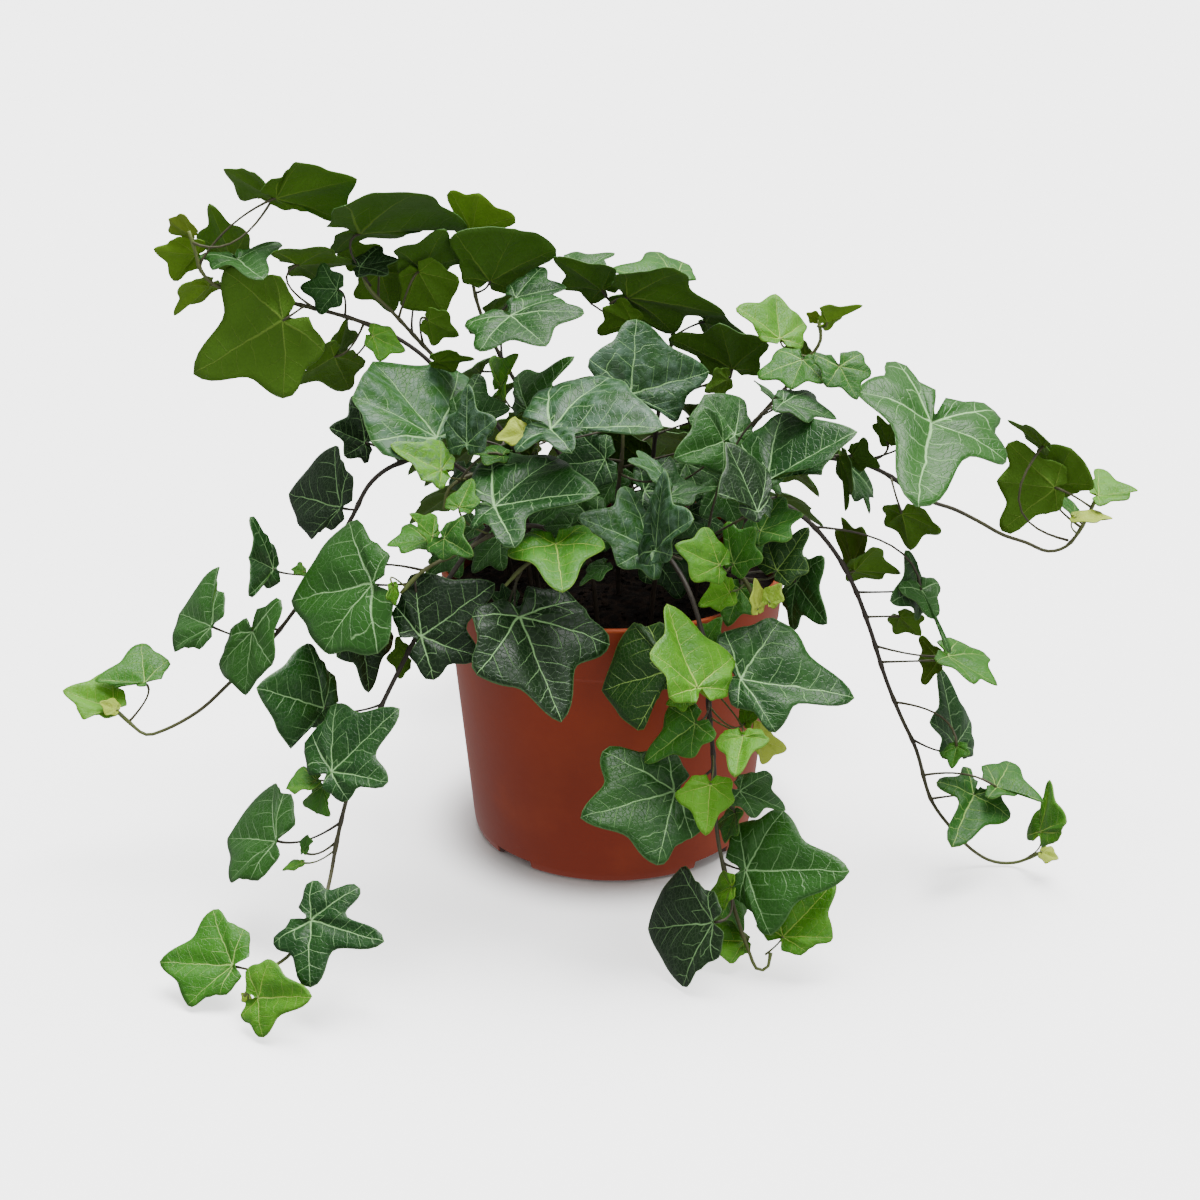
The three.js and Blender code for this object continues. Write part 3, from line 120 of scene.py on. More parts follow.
# Stem: name, root [x, y] in the soil, then its course as [right, up, nearness].
STEMS = [
    ["upper_left", [-30, 8], [[-42, 130, -2], [-58, 158, -8], [-71, 177, -13], [-85, 187.5, -17],
        [-100, 194, -19], [-120, 199.5, -21], [-140, 204, -23], [-155, 207.5, -25], [-161, 213, -26],
        [-163.5, 221, -27], [-166, 229, -28]]],
    ["upper_middle", [-18, 20], [[-36, 140, -14], [-56, 166, -20], [-73, 183, -23],
        [-86, 197, -25], [-95, 206, -26], [-99, 215, -27]]],
    ["crown_back", [-4, 30], [[-14, 130, -26], [-32, 160, -34], [-48, 188, -40], [-54, 205, -44],
        [-56, 224, -46]]],
    ["crown_rear", [16, 30], [[16, 140, -28], [20, 170, -32], [24, 192, -34], [22, 206, -36]]],
    ["right_top", [28, 14], [[40, 130, -2], [56, 154, 2], [70, 170, 4], [77, 179, 5],
        [81.5, 186, 5], [81, 194, 5]]],
    ["far_right", [34, 2], [[50, 126, 2], [66, 137, 5], [82, 140, 6], [96, 138.5, 5],
        [107, 134, 3], [116, 128, 1], [125, 123, -2], [134, 120, -5], [144, 115, -8],
        [153, 110, -10], [162, 107, -12], [171, 103.5, -14], [178, 105.5, -16],
        [184, 113, -17.5], [190, 125, -19]]],
    ["long_right", [38, -10], [[54, 118, 20], [66, 122, 23], [77, 115, 24], [88, 102, 25],
        [95, 89, 25], [101, 73, 26], [107, 54, 28], [113, 39, 29], [119, 26, 30], [125, 6, 32],
        [132, -4, 35], [141, -13.5, 38], [149, -18, 39.5], [158, -18.5, 40.5], [168, -14.5, 45]]],
    ["far_left", [-38, 0], [[-54, 132, 12], [-72, 140, 16], [-86, 137, 20], [-95, 130, 22],
        [-102, 117, 24], [-111, 101, 27], [-120, 87, 30], [-131, 72, 34], [-141, 61, 36],
        [-151, 51, 38], [-162, 41, 40], [-176, 33.3, 42], [-183, 31.7, 42], [-190, 37, 41],
        [-197, 43.5, 39]]],
    ["lower_left", [-30, -20], [[-40, 118, 36], [-56, 104, 50], [-70, 83, 60], [-81, 62, 68],
        [-90, 44, 75], [-98, 25, 83], [-104, 7, 90], [-108, -10, 98], [-110.5, -24, 107],
        [-114, -37, 121], [-120, -47, 131], [-128, -56, 137], [-137, -62, 141],
        [-144.5, -71, 147]]],
    ["front_left", [-20, -28], [[-26, 112, 44], [-42, 112, 54], [-58, 104, 62], [-74, 96, 66],
        [-83, 87, 68]]],
    ["front_middle", [-6, -36], [[-12, 104, 50], [-22, 104, 56], [-34, 98, 62],
        [-42, 90, 66]]],
    ["front", [14, -34], [[20, 102, 48], [28, 92, 62], [34, 76, 72], [37, 58, 78],
        [38, 40, 82], [39.5, 24, 87], [40, 8, 92], [41.5, -10, 97], [44.5, -24, 102],
        [48.5, -39, 109], [53, -52, 114.5], [57, -60.5, 119], [60.5, -60, 119], [62, -54, 118]]],
    ["crown_left", [-28, -10], [[-38, 126, 20], [-52, 134, 26], [-64, 128, 32],
        [-66, 120, 36]]],
    ["crown_middle", [2, -8], [[2, 124, 14], [4, 144, 16], [4, 158, 14]]],
    ["crown_right", [30, -24], [[38, 108, 42], [46, 98, 54], [52, 92, 62], [57, 82, 68]]],
    ["trail_back_left", [-26, 34], [[-38, 142, -58], [-46, 142, -84], [-50, 124, -104],
        [-50, 102, -118], [-48, 82, -128]]],
    ["trail_back", [0, 44], [[2, 140, -66], [6, 140, -92], [8, 122, -116], [8, 100, -132],
        [8, 76, -142], [8, 66, -148]]],
    ["trail_back_right", [30, 34], [[42, 138, -60], [50, 136, -86], [54, 118, -106],
        [52, 98, -120]]],
]

# Leaf: stem, age, the face that the eye sees, nearness, the blade's base, its tip, the ends of
# its side lobes, the ends of its base lobes where they show, and how far the bay before each
# side lobe reaches where that isn't as usual at its age.
LEAVES = [
    # upper left
    ["upper_left", "bud", "under", -32, [-165, 228], [-174, 234], [[-174, 229], [-169, 236]], []],
    ["upper_left", "young", "under", -30, [-163, 220], [-180, 222], [[-172, 226], [-172, 209.5]],
        []],
    ["upper_left", "mid", "under", -36, [-149, 218], [-158, 240], [[-163, 227], [-143.5, 229]], []],
    ["upper_left", "old", "top", -22, [-147, 218], [-137, 210], [[-129.5, 224], [-157, 214]],
        [[-162, 219.5]]],
    ["upper_left", "young", "under", -30, [-158, 208], [-172, 196], [[-170, 207], [-162, 201]], []],
    ["upper_left", "mid", "under", -14, [-129, 194], [-164, 173], [[-129, 163.5], [-152, 214]],
        [[-113, 182], [-133, 212]]],
    ["upper_left", "mid", "under", -30, [-132, 242], [-100, 249.5], [[-122.5, 256], [-106.5, 233.5]],
        [[-130.5, 250], [-126.5, 237.5]], [1, 1]],
    ["upper_left", "mid", "under", -26, [-123, 216], [-101, 217], [[-110, 222], [-115, 210]],
        [[-133, 221]]],
    ["upper_left", "old", "top", -24, [-108, 206], [-122.5, 207], [[-115, 196.5]], []],
    ["upper_left", "young", "top", -8, [-94, 188], [-81, 182], [[-86, 190.5], [-91, 178]], []],
    ["upper_left", "mid", "under", -16, [-108, 180], [-104, 195], [[-109.5, 188], [-100, 189]], []],
    ["upper_left", "mid", "under", -10, [-109, 180], [-129, 168.5], [[-103, 167], [-120, 174]],
        [[-97, 176]]],
    ["upper_left", "mid", "under", -30, [-133, 242], [-152.5, 253.5], [[-142, 252.5], [-146, 241.5]],
        [[-134, 245], [-137, 241.5]], [1, 1]],
    # upper middle
    ["upper_middle", "old", "under", -30, [-99, 228], [-56.5, 229.5], [[-76.5, 244], [-82, 227]],
        [[-108, 247]], [1, 1]],
    ["upper_middle", "mid", "under", -34, [-99, 216], [-104, 227], [[-108, 221], [-90, 223]], []],
    ["upper_middle", "old", "top", -28, [-99, 215], [-84, 218], [[-91, 223], [-88, 212]], []],
    ["upper_middle", "old", "under", -34, [-74.5, 214], [-66, 230], [[-85, 222], [-55, 219]], []],
    ["upper_middle", "mid", "under", -40, [-76, 213], [-66, 196], [[-60, 209], [-82, 199]],
        [], [1, 1]],
    ["upper_middle", "mid", "under", -42, [-91, 213], [-86, 197], [[-76, 211], [-101, 203]], []],
    ["upper_middle", "mid", "under", -12, [-72, 194], [-60, 188], [[-64, 197], [-70, 184]], []],
    ["upper_middle", "mid", "under", -2, [-69, 178], [-54, 179], [[-62, 182], [-62, 174]], []],
    # crown back
    ["crown_back", "old", "under", -40, [-48, 209.5], [-38, 230], [[-62, 228], [-22, 222]],
        [], [1, 1.08]],
    ["crown_back", "young", "under", -50, [-55, 229], [-52, 244], [[-63.5, 245], [-38, 234.5]], []],
    ["crown_back", "old", "top", -2, [-40, 196], [-26, 184], [[-11, 197], [-52, 182]],
        [[-13, 205], [-58, 192]]],
    ["crown_back", "old", "top", -24, [-38, 203], [-18, 207], [[-27, 215], [-24, 199]], []],
    ["crown_back", "old", "top", 12, [-33, 158.5], [-15, 180], [[-37, 173], [-23, 165]], []],
    ["crown_back", "young", "top", 6, [-44, 168], [-37, 181], [[-48, 179], [-41, 172]], []],
    # crown rear
    ["crown_rear", "mid", "top", -30, [25, 209], [-1, 214], [[12, 209.5], [17, 221]], [[28, 221.5]]],
    ["crown_rear", "old", "under", -28, [6, 203], [44, 196.5], [[27, 213], [24, 189]], []],
    ["crown_rear", "old", "top", -40, [-14, 213], [1, 220.5], [[-18, 220], [-2, 215]], []],
    ["crown_rear", "old", "under", -34, [-4, 206], [-23, 219], [[-20, 207], [0, 215]], []],
    ["crown_rear", "mid", "under", -18, [8, 193], [-4, 199], [[-6, 189], [3, 203]], []],
    ["crown_rear", "old", "under", -22, [47, 175], [42, 193], [[22, 187], [60, 186]], []],
    ["crown_rear", "mid", "under", -10, [45, 171], [36, 166], [[40, 175]], []],
    # right top
    ["right_top", "mid", "top", 18, [74.5, 178.5], [70, 167], [[83, 169.5], [57, 171.5]],
        [[60, 184]]],
    ["right_top", "mid", "top", 22, [89, 176], [96, 163], [[101.5, 173], [84, 168]],
        [[98, 181], [78, 181]]],
    ["right_top", "young", "top", 4, [66, 187], [64, 204.5], [[48.5, 199], [75.5, 193]], []],
    ["right_top", "mid", "under", 2, [75.5, 180.5], [67, 187.5], [[67, 183], [75, 186.5]], []],
    ["right_top", "young", "under", 6, [84, 193.5], [98, 200], [[82, 199.5], [90, 195.5]], []],
    ["right_top", "bud", "under", 5, [80.5, 194.5], [76, 197], [], []],
    # far right
    ["far_right", "old", "top", 16, [125, 154], [119, 121], [[154.5, 138.5], [96, 166]],
        [[150, 158.5], [111, 178]], [0.78, 0.81]],
    ["far_right", "mid", "under", -11, [173.5, 128.5], [150.5, 131], [[155, 146], [152.5, 111.5]],
        []],
    ["far_right", "mid", "under", -15, [173.5, 130], [180, 144], [[168.5, 145], [189, 129.5]],
        [[167.5, 139.5], [168, 119.5]], [1.06, 1.06]],
    ["far_right", "mid", "under", -12, [169, 145], [155, 155], [[163, 153], [162, 148]], []],
    ["far_right", "young", "top", -19, [190.5, 125.5], [206, 127.5], [[190.5, 136], [203, 125]], []],
    ["far_right", "bud", "top", -16, [182, 117], [196, 116.5], [[190, 119.5], [190, 115]], []],
    ["far_right", "mid", "top", -15, [181.5, 118], [174.5, 128.5], [[176, 122], [180, 123.5]], []],
    ["far_right", "old", "under", -2, [94, 141], [105, 136.5], [[99, 148], [98, 135]], []],
    ["far_right", "mid", "under", 4, [108, 146.5], [104, 157], [[102, 153], [111, 152]], []],
    ["far_right", "old", "under", 4, [89, 141], [91.5, 119.5], [[94, 126], [88, 134]], []],
    ["far_right", "old", "top", 10, [93, 137], [101, 118], [[102.5, 125], [95, 123]], []],
    ["far_right", "mid", "under", 14, [113.5, 118.5], [117, 104], [[129, 111], [107, 113.5]],
        [[124, 118]]],
    # long right
    ["long_right", "mid", "under", 14, [94.5, 98.5], [90, 117], [[87.5, 112], [99, 112]], []],
    ["long_right", "mid", "under", 16, [95, 96], [113, 95], [[104, 105], [106, 93]], []],
    ["long_right", "old", "top", 24, [120, 88.3], [109, 84], [[119, 76.5], [115, 104]], []],
    ["long_right", "old", "top", 28, [121, 88.3], [132.5, 63.5], [[137, 78], [127, 77.5]], []],
    ["long_right", "mid", "top", 32, [131.5, 62.5], [151, 51], [[147, 62.5], [142, 51.5]],
        [[138, 73]]],
    ["long_right", "mid", "under", 22, [128, 61], [120, 61], [[120.5, 70], [121.5, 51.5]], []],
    ["long_right", "mid", "under", 20, [112.5, 78], [121, 70.5], [[122.5, 77.5]], []],
    ["long_right", "old", "top", 34, [134.5, 27.5], [128, 58.5], [[124.5, 36.5], [140, 38]], []],
    ["long_right", "mid", "top", 36, [135, 27], [133, 18.5], [[140, 24]], []],
    ["long_right", "mid", "top", 38, [141.7, 8], [133, -12.5], [[156, -1], [127, 13]],
        [[150, 9.5], [139, 19]], [0.95, 0.55]],
    ["long_right", "mid", "top", 38, [150.5, 11], [169, 5.5], [[156, 21], [158.5, 8]],
        [[140.5, 31.5], [146, 20.5]], [0.9, 1]],
    ["long_right", "young", "top", 50, [167.5, -6.5], [171.3, 14], [[178, -2.5], [167.5, 2.5]],
        [[176, -7]], [1, 1]],
    ["long_right", "bud", "top", 45, [168.5, -14.5], [175, -17], [], []],
    # far left
    ["far_left", "old", "top", 8, [-106.5, 120.5], [-127, 126], [[-118.5, 108.5], [-108.5, 145]],
        [[-112, 112.5], [-103.5, 134.5]], [1.06, 1.06]],
    ["far_left", "old", "top", 4, [-97, 146], [-111, 152], [[-105, 141], [-101, 165]], []],
    ["far_left", "old", "top", 30, [-133, 96.5], [-142.5, 101], [[-144, 122], [-143, 85.5]],
        [[-134, 107], [-137, 91]], [1, 1]],
    ["far_left", "young", "top", 34, [-121, 95.5], [-126, 96.5], [[-122.5, 99.5], [-125, 95]], []],
    ["far_left", "old", "top", 36, [-157, 74], [-170, 79], [[-154.5, 97.5], [-172, 65]],
        [[-154.5, 88], [-163.5, 65.5]], [1, 1]],
    ["far_left", "old", "top", 42, [-141, 72], [-144, 47], [[-133.5, 59], [-154, 57.5]],
        [[-130, 84.5], [-150.5, 70]], [1, 1]],
    ["far_left", "mid", "top", 38, [-183.5, 52], [-203, 53], [[-184.5, 67.5], [-194.5, 50]],
        [[-174, 61], [-186.5, 51.5]], [0.95, 1]],
    ["far_left", "young", "top", 42, [-195, 42], [-215.5, 49], [[-197, 56.5], [-208, 38]],
        [[-193.5, 50], [-200.5, 39]], [0.95, 0.95]],
    ["far_left", "bud", "top", 45, [-194.5, 41.5], [-201, 44.5], [], []],
    # lower left
    ["lower_left", "old", "top", 62, [-113, 42], [-139.5, 50], [[-119.5, 67.5], [-126, 26]],
        [[-111, 56.5], [-119, 35.5]], [1, 1.05]],
    ["lower_left", "old", "top", 97, [-110, 17], [-83.5, 42], [[-108, 44], [-88, 13]],
        [[-118, 32], [-103.5, 6]], [0.87, 0.74]],
    ["lower_left", "young", "top", 92, [-116, 14], [-128, 10.5], [[-122, 19], [-125, 8.5]],
        [[-117, 17], [-119.5, 10]], [1, 1]],
    ["lower_left", "mid", "top", 94, [-113.5, 11.5], [-116, 0.5], [[-121.5, 4.5], [-111, -0.5]],
        [[-118, 9], [-111.5, 6.5]], [1, 1]],
    ["lower_left", "old", "top", 90, [-132, -10], [-151, -9], [[-132.5, 12.5], [-150, -26]],
        [[-129, 9], [-142, -25.5]], [1.05, 0.95]],
    ["lower_left", "mid", "top", 99, [-121, -14.5], [-119.5, -7.5], [[-122.5, -10], [-117.5, -10]],
        [[-122, -12.5], [-119, -12.5]], [1, 1]],
    ["lower_left", "young", "top", 101, [-121.5, -18.5], [-129.5, -21.5],
        [[-125.5, -17.5], [-125, -21.5]], [[-122.5, -17.5], [-122, -20]], [1, 1]],
    ["lower_left", "old", "top", 133, [-118, -41], [-89.5, -49.5], [[-99, -28.5], [-118.5, -67.5]],
        [[-117.5, -25.5], [-133, -50.5]], [0.61, 0.68]],
    ["lower_left", "young", "top", 148, [-139, -71.5], [-118, -71], [[-134, -56.5], [-137, -87]],
        [[-142.5, -59.5], [-145.5, -79.5]], [0.97, 0.85]],
    ["lower_left", "mid", "top", 130, [-149, -59], [-177.5, -57.5], [[-156.5, -37], [-166.5, -74.5]],
        [[-144.5, -44.5], [-154, -70.5]], [0.88, 0.93]],
    ["lower_left", "bud", "top", 148, [-142.5, -72.5], [-145.5, -69.5], [], []],
    ["lower_left", "mid", "under", 64, [-80.5, 62], [-88.5, 61.5], [[-84.5, 70]], []],
    # front left
    ["front_left", "old", "top", 62, [-94, 90.5], [-126, 84], [[-103, 115], [-113, 64]],
        [[-88, 103], [-92, 63]], [1.02, 1.0]],
    ["front_left", "old", "top", 50, [-99, 76], [-95.5, 48], [[-86, 68], [-108, 62]], []],
    ["front_left", "young", "top", 71, [-86, 90], [-85, 82], [[-83.5, 86], [-88.5, 85]], []],
    ["front_left", "old", "top", 76, [-75, 70], [-46, 91], [[-77, 95], [-53, 62]],
        [[-85, 82], [-70, 53]], [0.97, 0.74]],
    ["front_left", "mid", "top", 58, [-73, 108], [-88.5, 106], [[-83, 103], [-81, 114]], []],
    ["front_left", "young", "top", 68, [-70.5, 109.5], [-79.5, 118.5], [[-76, 112], [-69.5, 118]],
        []],
    ["front_left", "mid", "top", 70, [-66, 108.5], [-54.5, 101.5], [[-58.5, 117], [-66, 100]],
        [[-73, 104]]],
    ["front_left", "young", "top", 52, [-60, 121], [-55, 132], [[-65, 124], [-51.5, 121.5]], []],
    # front middle
    ["front_middle", "old", "top", 58, [-46.5, 121], [-5, 126.5], [[-21, 140], [-38, 105]],
        [[-47, 141.5], [-55, 112]], [0.97, 0.64]],
    ["front_middle", "old", "top", 78, [-36.5, 78], [-20, 36.5], [[-1, 67], [-53, 55]],
        [[-14, 84], [-55, 78]], [0.82, 0.96]],
    ["front_middle", "young", "top", 72, [-22, 106.5], [-19.5, 87.5], [[-3, 105], [-41, 102]],
        [[-11, 113.5], [-33, 111]]],
    ["front_middle", "old", "top", 62, [-41, 81], [-43, 91], [[-47.5, 87], [-37, 88]], []],
    ["front_middle", "old", "top", 54, [-16, 114], [-27, 113], [[-24, 106], [-20, 119]], []],
    ["front_middle", "old", "top", 56, [-3, 98], [-13, 90], [[-5, 92], [-10, 97]], []],
    # front
    ["front", "mid", "top", 78, [24, 57], [-4, 49], [[10, 33.5], [8, 75]],
        [[20.5, 49.5], [14, 74]], [1.04, 1.04]],
    ["front", "young", "top", 92, [33, 50.3], [21.5, 82.5], [[15, 63.5], [47, 62]], []],
    ["front", "mid", "top", 82, [35, 66], [43, 78], [[34, 75], [45, 68]], []],
    ["front", "old", "top", 88, [50, 53.5], [95, 46], [[66, 76], [64, 32.5]],
        [[44, 72], [49, 42]], [0.92, 0.8]],
    ["front", "mid", "top", 94, [32.5, 36], [12.5, 20.5], [[22, 42.5], [31, 22.5]], [[40, 30]]],
    ["front", "young", "top", 86, [30, 46.5], [21, 43.5], [], []],
    ["front", "old", "top", 98, [24.5, 9.5], [-12.5, -1], [[-4, 25], [17.5, -19.5]],
        [[21, 26], [31, -9]], [0.86, 0.9]],
    ["front", "young", "top", 108, [38.5, 12], [36.5, -8], [[47.5, 5], [24.5, 7.5]], []],
    ["front", "young", "top", 104, [51, 31], [48, 15], [[61.5, 29.5], [40.5, 28]], []],
    ["front", "bud", "top", 92, [57, 31], [68.5, 26], [[60, 35], [59, 20]], []],
    ["front", "young", "top", 90, [52, 36], [55, 44], [[50.5, 42.5], [57, 39]], []],
    ["front", "old", "top", 96, [50, 9.5], [68, 2], [[62, 16.5], [56, -1]], []],
    ["front", "mid", "top", 90, [48, 1], [44, -11], [[49, -8], [41, -4]], []],
    ["front", "old", "top", 104, [52.5, -21.5], [93, -22], [[67, 2], [62, -47]],
        [[50, -3], [50, -34]], [0.9, 0.9]],
    ["front", "young", "top", 118, [67, -47.5], [87.5, -26], [[61, -26.5], [86.5, -48]],
        [[76, -53.5]]],
    ["front", "young", "top", 119, [52, -49.5], [28.5, -46.5], [[46, -58], [46, -38]],
        [[53, -54], [50.5, -45.5]], [1, 1]],
    ["front", "old", "top", 120, [39.5, -42], [14, -44.5], [[27, -20.5], [27.5, -67]],
        [[38, -29.5], [39.5, -57]], [1.06, 1.04]],
    ["front", "young", "top", 107, [46.5, -28], [37.5, -32], [[43, -22]], []],
    ["front", "mid", "top", 108, [46, -30], [51, -47], [[53, -37], [42.5, -40]], []],
    # crown left
    ["crown_left", "old", "top", 22, [-69, 148], [-94, 178], [[-102, 164], [-60, 174]],
        [[-96.5, 146.5]], [1.02, 0.95]],
    ["crown_left", "old", "top", 14, [-60, 156], [-40, 159.5], [[-52, 173], [-47, 149]], []],
    ["crown_left", "old", "top", 36, [-57, 145.5], [-56.5, 169], [[-65, 155], [-45.5, 155]], []],
    ["crown_left", "young", "top", 40, [-67, 135.5], [-87, 145.5], [[-75, 131.5], [-68, 147]], []],
    ["crown_left", "bud", "top", 40, [-35, 150], [-46, 147.5], [[-40, 145], [-39, 156]], []],
    ["crown_left", "mid", "top", 30, [-43, 141], [-57, 142], [[-50, 137.5], [-49, 144.5]], []],
    # crown middle
    ["crown_middle", "old", "top", 46, [-24.5, 151.5], [20, 152], [[-1, 171.5], [-16, 142]],
        [[-24, 168], [-38, 142.5]], [1.0, 0.55]],
    ["crown_middle", "old", "top", 12, [7, 165], [38, 174], [[9, 194.5], [26, 155]],
        [[-9, 179], [14, 159]], [0.95, 0.9]],
    ["crown_middle", "old", "top", 48, [15, 104.5], [-13.5, 117], [[2, 98], [5, 129]], []],
    ["crown_middle", "old", "top", 50, [17, 104], [20.5, 135], [[15.5, 122], [31.5, 116]], []],
    ["crown_middle", "old", "top", 30, [20, 133], [6, 139], [[16, 131], [10, 143]], []],
    ["crown_middle", "old", "top", 40, [22, 125], [40, 128], [[31, 131], [31, 122]], []],
    ["crown_middle", "old", "top", 46, [43.5, 146.5], [24, 140], [[43, 133.5], [35, 160]],
        [], [1, 1]],
    ["crown_middle", "old", "top", 28, [48, 149], [36, 165], [[30, 155], [50, 164]], [], [1, 1]],
    # crown right
    ["crown_right", "old", "top", 54, [61, 131], [96, 150.5], [[67, 158], [82, 133.5]],
        [[49.5, 147.5], [67.5, 132.5]], [0.95, 1.0]],
    ["crown_right", "old", "top", 60, [57, 119], [44.5, 146], [[41.5, 126], [60, 136]],
        [[49.5, 120.5], [61.5, 125.5]], [1, 1]],
    ["crown_right", "mid", "top", 60, [58, 111.5], [75, 118], [[67, 125], [70, 108.5]], []],
    ["crown_right", "mid", "top", 66, [64.5, 96], [77, 113], [[61, 107], [77, 96]], []],
    ["crown_right", "mid", "top", 62, [47.5, 98.5], [56, 113], [[45, 115], [59, 101]], []],
    ["crown_right", "young", "top", 72, [42, 98], [24.5, 106], [[31, 92.5], [36, 113]], []],
    ["crown_right", "young", "top", 70, [46, 87.5], [33.5, 82], [[41, 96], [41, 80]], []],
    ["crown_right", "bud", "top", 76, [57, 81], [56, 93], [[54, 85], [60, 87]], []],
    ["crown_right", "bud", "top", 75, [61.5, 83.5], [66, 91], [], []],
    ["crown_right", "old", "top", 52, [72, 91.5], [84, 75], [[83, 101], [71, 72.5]],
        [], [0.85, 0.75]],
    ["crown_right", "old", "top", 36, [67, 162], [88, 155.5], [[78, 166], [77, 154]], []],
    # in the shade between the others
    ["crown_left", "old", "top", 12, [-54, 113], [-67, 101], [[-66, 113], [-55, 100]], []],
    ["crown_left", "old", "top", 0, [-57, 136], [-58, 121], [[-64, 129], [-51, 128]], []],
    ["front_left", "old", "top", 22, [-44, 109], [-55, 95], [[-57, 107], [-43, 96]], []],
    ["crown_middle", "old", "top", -2, [-22, 126], [-34, 112], [[-36, 124], [-22, 111]], []],
    ["crown_middle", "old", "top", -8, [2, 134], [-6, 118], [[-11, 130], [5, 121]], []],
    ["crown_middle", "old", "top", -6, [29, 138], [36, 121], [[22, 126], [43, 131]], []],
    ["right_top", "old", "top", 0, [42, 129], [50, 112], [[35, 117], [56, 122]], []],
    ["right_top", "old", "top", 10, [30, 119], [37, 103], [[24, 109], [44, 112]], []],
    ["far_right", "old", "top", 14, [57, 117], [60, 100], [[49, 106], [67, 110]], []],
    ["crown_right", "mid", "top", 48, [50, 89], [45, 74], [[36, 84], [57, 79]], []],
    ["lower_left", "old", "top", 34, [-60, 106], [-72, 94], [[-72, 105], [-60, 93]], []],
]

# What the eye can't see grows by rule: stem, age, count, where on the stem from and to, length.
HIDDEN = [
    ["trail_back_left", "old", 8, 0.3, 0.97, 27],
    ["trail_back", "old", 9, 0.3, 0.97, 27],
    ["trail_back_right", "old", 8, 0.3, 0.97, 27],
    ["crown_back", "old", 4, 0.35, 0.75, 30],
    ["crown_rear", "old", 4, 0.35, 0.85, 30],
    ["crown_middle", "old", 4, 0.35, 0.8, 26],
    ["right_top", "old", 3, 0.4, 0.65, 24],
    ["upper_middle", "old", 2, 0.35, 0.5, 24],
]

# ---- where things are ---------------------------------------------------------------------

WORLD_UP = np.array([0.0, 0.0, 1.0])
VIEW_UP = np.array([0.0, math.sin(VIEW_PITCH), math.cos(VIEW_PITCH)])


def unit(vector):
    return vector / np.linalg.norm(vector)


def sight_point(place):
    return np.array([place[0], 0.0, 0.0]) + VIEW_UP * place[1]


def depth_share(place, nearness):
    return (-nearness - EYE[1]) / (sight_point(place)[1] - EYE[1])


def seen(place, nearness):
    """The point that the eye sees at [right, up], that far in front of the axis."""
    return EYE + (sight_point(place) - EYE) * depth_share(place, nearness)


def seen_on_plane(place, origin, normal):
    ray = sight_point(place) - EYE
    return EYE + ray * ((origin - EYE).dot(normal) / ray.dot(normal))


class Course:
    """A curve with even steps along its length."""

    def __init__(self, point_at):
        samples = np.array([point_at(i / 200) for i in range(201)])
        steps = np.linalg.norm(np.diff(samples, axis=0), axis=1)
        self.point_at = point_at
        self.lengths = np.concatenate([[0.0], np.cumsum(steps)])
        self.length = self.lengths[-1]

    def spaced(self, steps):
        shares = np.interp(
            np.linspace(0, self.length, steps + 1), self.lengths, np.linspace(0, 1, 201)
        )
        return np.array([self.point_at(share) for share in shares])


def through(points):
    """A centripetal curve through the points, as the solids' stems follow."""
    points = [np.array(p, float) for p in points]
    ends = [2 * points[0] - points[1], *points, 2 * points[-1] - points[-2]]

    def point_at(share):
        place = share * (len(points) - 1)
        i = min(int(place), len(points) - 2)
        t = place - i
        p0, p1, p2, p3 = ends[i:i + 4]
        d0, d1, d2 = (math.sqrt(np.linalg.norm(b - a)) for a, b in ((p0, p1), (p1, p2), (p2, p3)))
        m1 = ((p1 - p0) / d0 - (p2 - p0) / (d0 + d1) + (p2 - p1) / d1) * d1
        m2 = ((p2 - p1) / d1 - (p3 - p1) / (d1 + d2) + (p3 - p2) / d2) * d1
        bend = -3 * p1 + 3 * p2 - 2 * m1 - m2
        return p1 + m1 * t + bend * t * t + (2 * p1 - 2 * p2 + m1 + m2) * t**3

    return Course(point_at)


def bowed(start, control, end):
    return Course(lambda t: (1 - t) ** 2 * start + 2 * t * (1 - t) * control + t * t * end)


class Stem:
    """A stem's course, its line in the solids' own steps, and the leaves that it bears."""

    def __init__(self, name, root, course):
        rooted = [root[0], root[1], SOIL_TOP - ROOT_DEPTH]
        collar = [root[0], root[1], SOIL_TOP + SOIL_HEAP + 2]
        places = [seen(place[:2], place[2]) for place in course]
        self.name = name
        self.course = through([rooted, collar, *places])
        self.length = self.course.length
        self.line = self.course.spaced(math.ceil(self.length / STEM_STEP_LENGTH))
        self.leaves = []
        self.corners = Corners(name)

    def point_along(self, share):
        last = len(self.line) - 1
        place = min(max(share, 0), 1) * last
        i = min(int(place), last - 1)
        return self.line[i] + (self.line[i + 1] - self.line[i]) * (place - i)

    def nearest_share(self, point):
        shares = [i / 240 for i in range(241)]
        distances = [np.linalg.norm(self.point_along(s) - point) for s in shares]
        return shares[int(np.argmin(distances))]


class Corners:
    """The corner points of one stem's solids, in millimetres, and the node each is of."""

    def __init__(self, stem):
        self.nodes = [
            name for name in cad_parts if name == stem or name.startswith(stem + "_leaf_")
        ]
        points = [
            (vertex.co / MM, node)
            for node in self.nodes
            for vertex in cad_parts[node].data.vertices
        ]
        self.owners = [node for _, node in points]
        self.tree = kdtree.KDTree(len(points))
        for i, (point, _) in enumerate(points):
            self.tree.insert(point, i)
        self.tree.balance()

    def owner(self, point, within=0.05):
        _, index, distance = self.tree.find(point)
        return self.owners[index] if distance < within else None

    def ring_size(self, centre, radius):
        """How many corners stand round a centre at that radius."""
        found = self.tree.find_range(centre, radius + 0.04)
        return len({tuple(round(x, 1) for x in co) for co, _, d in found if d > radius - 0.04})


# ---- leaves as the eye sees them ----------------------------------------------------------


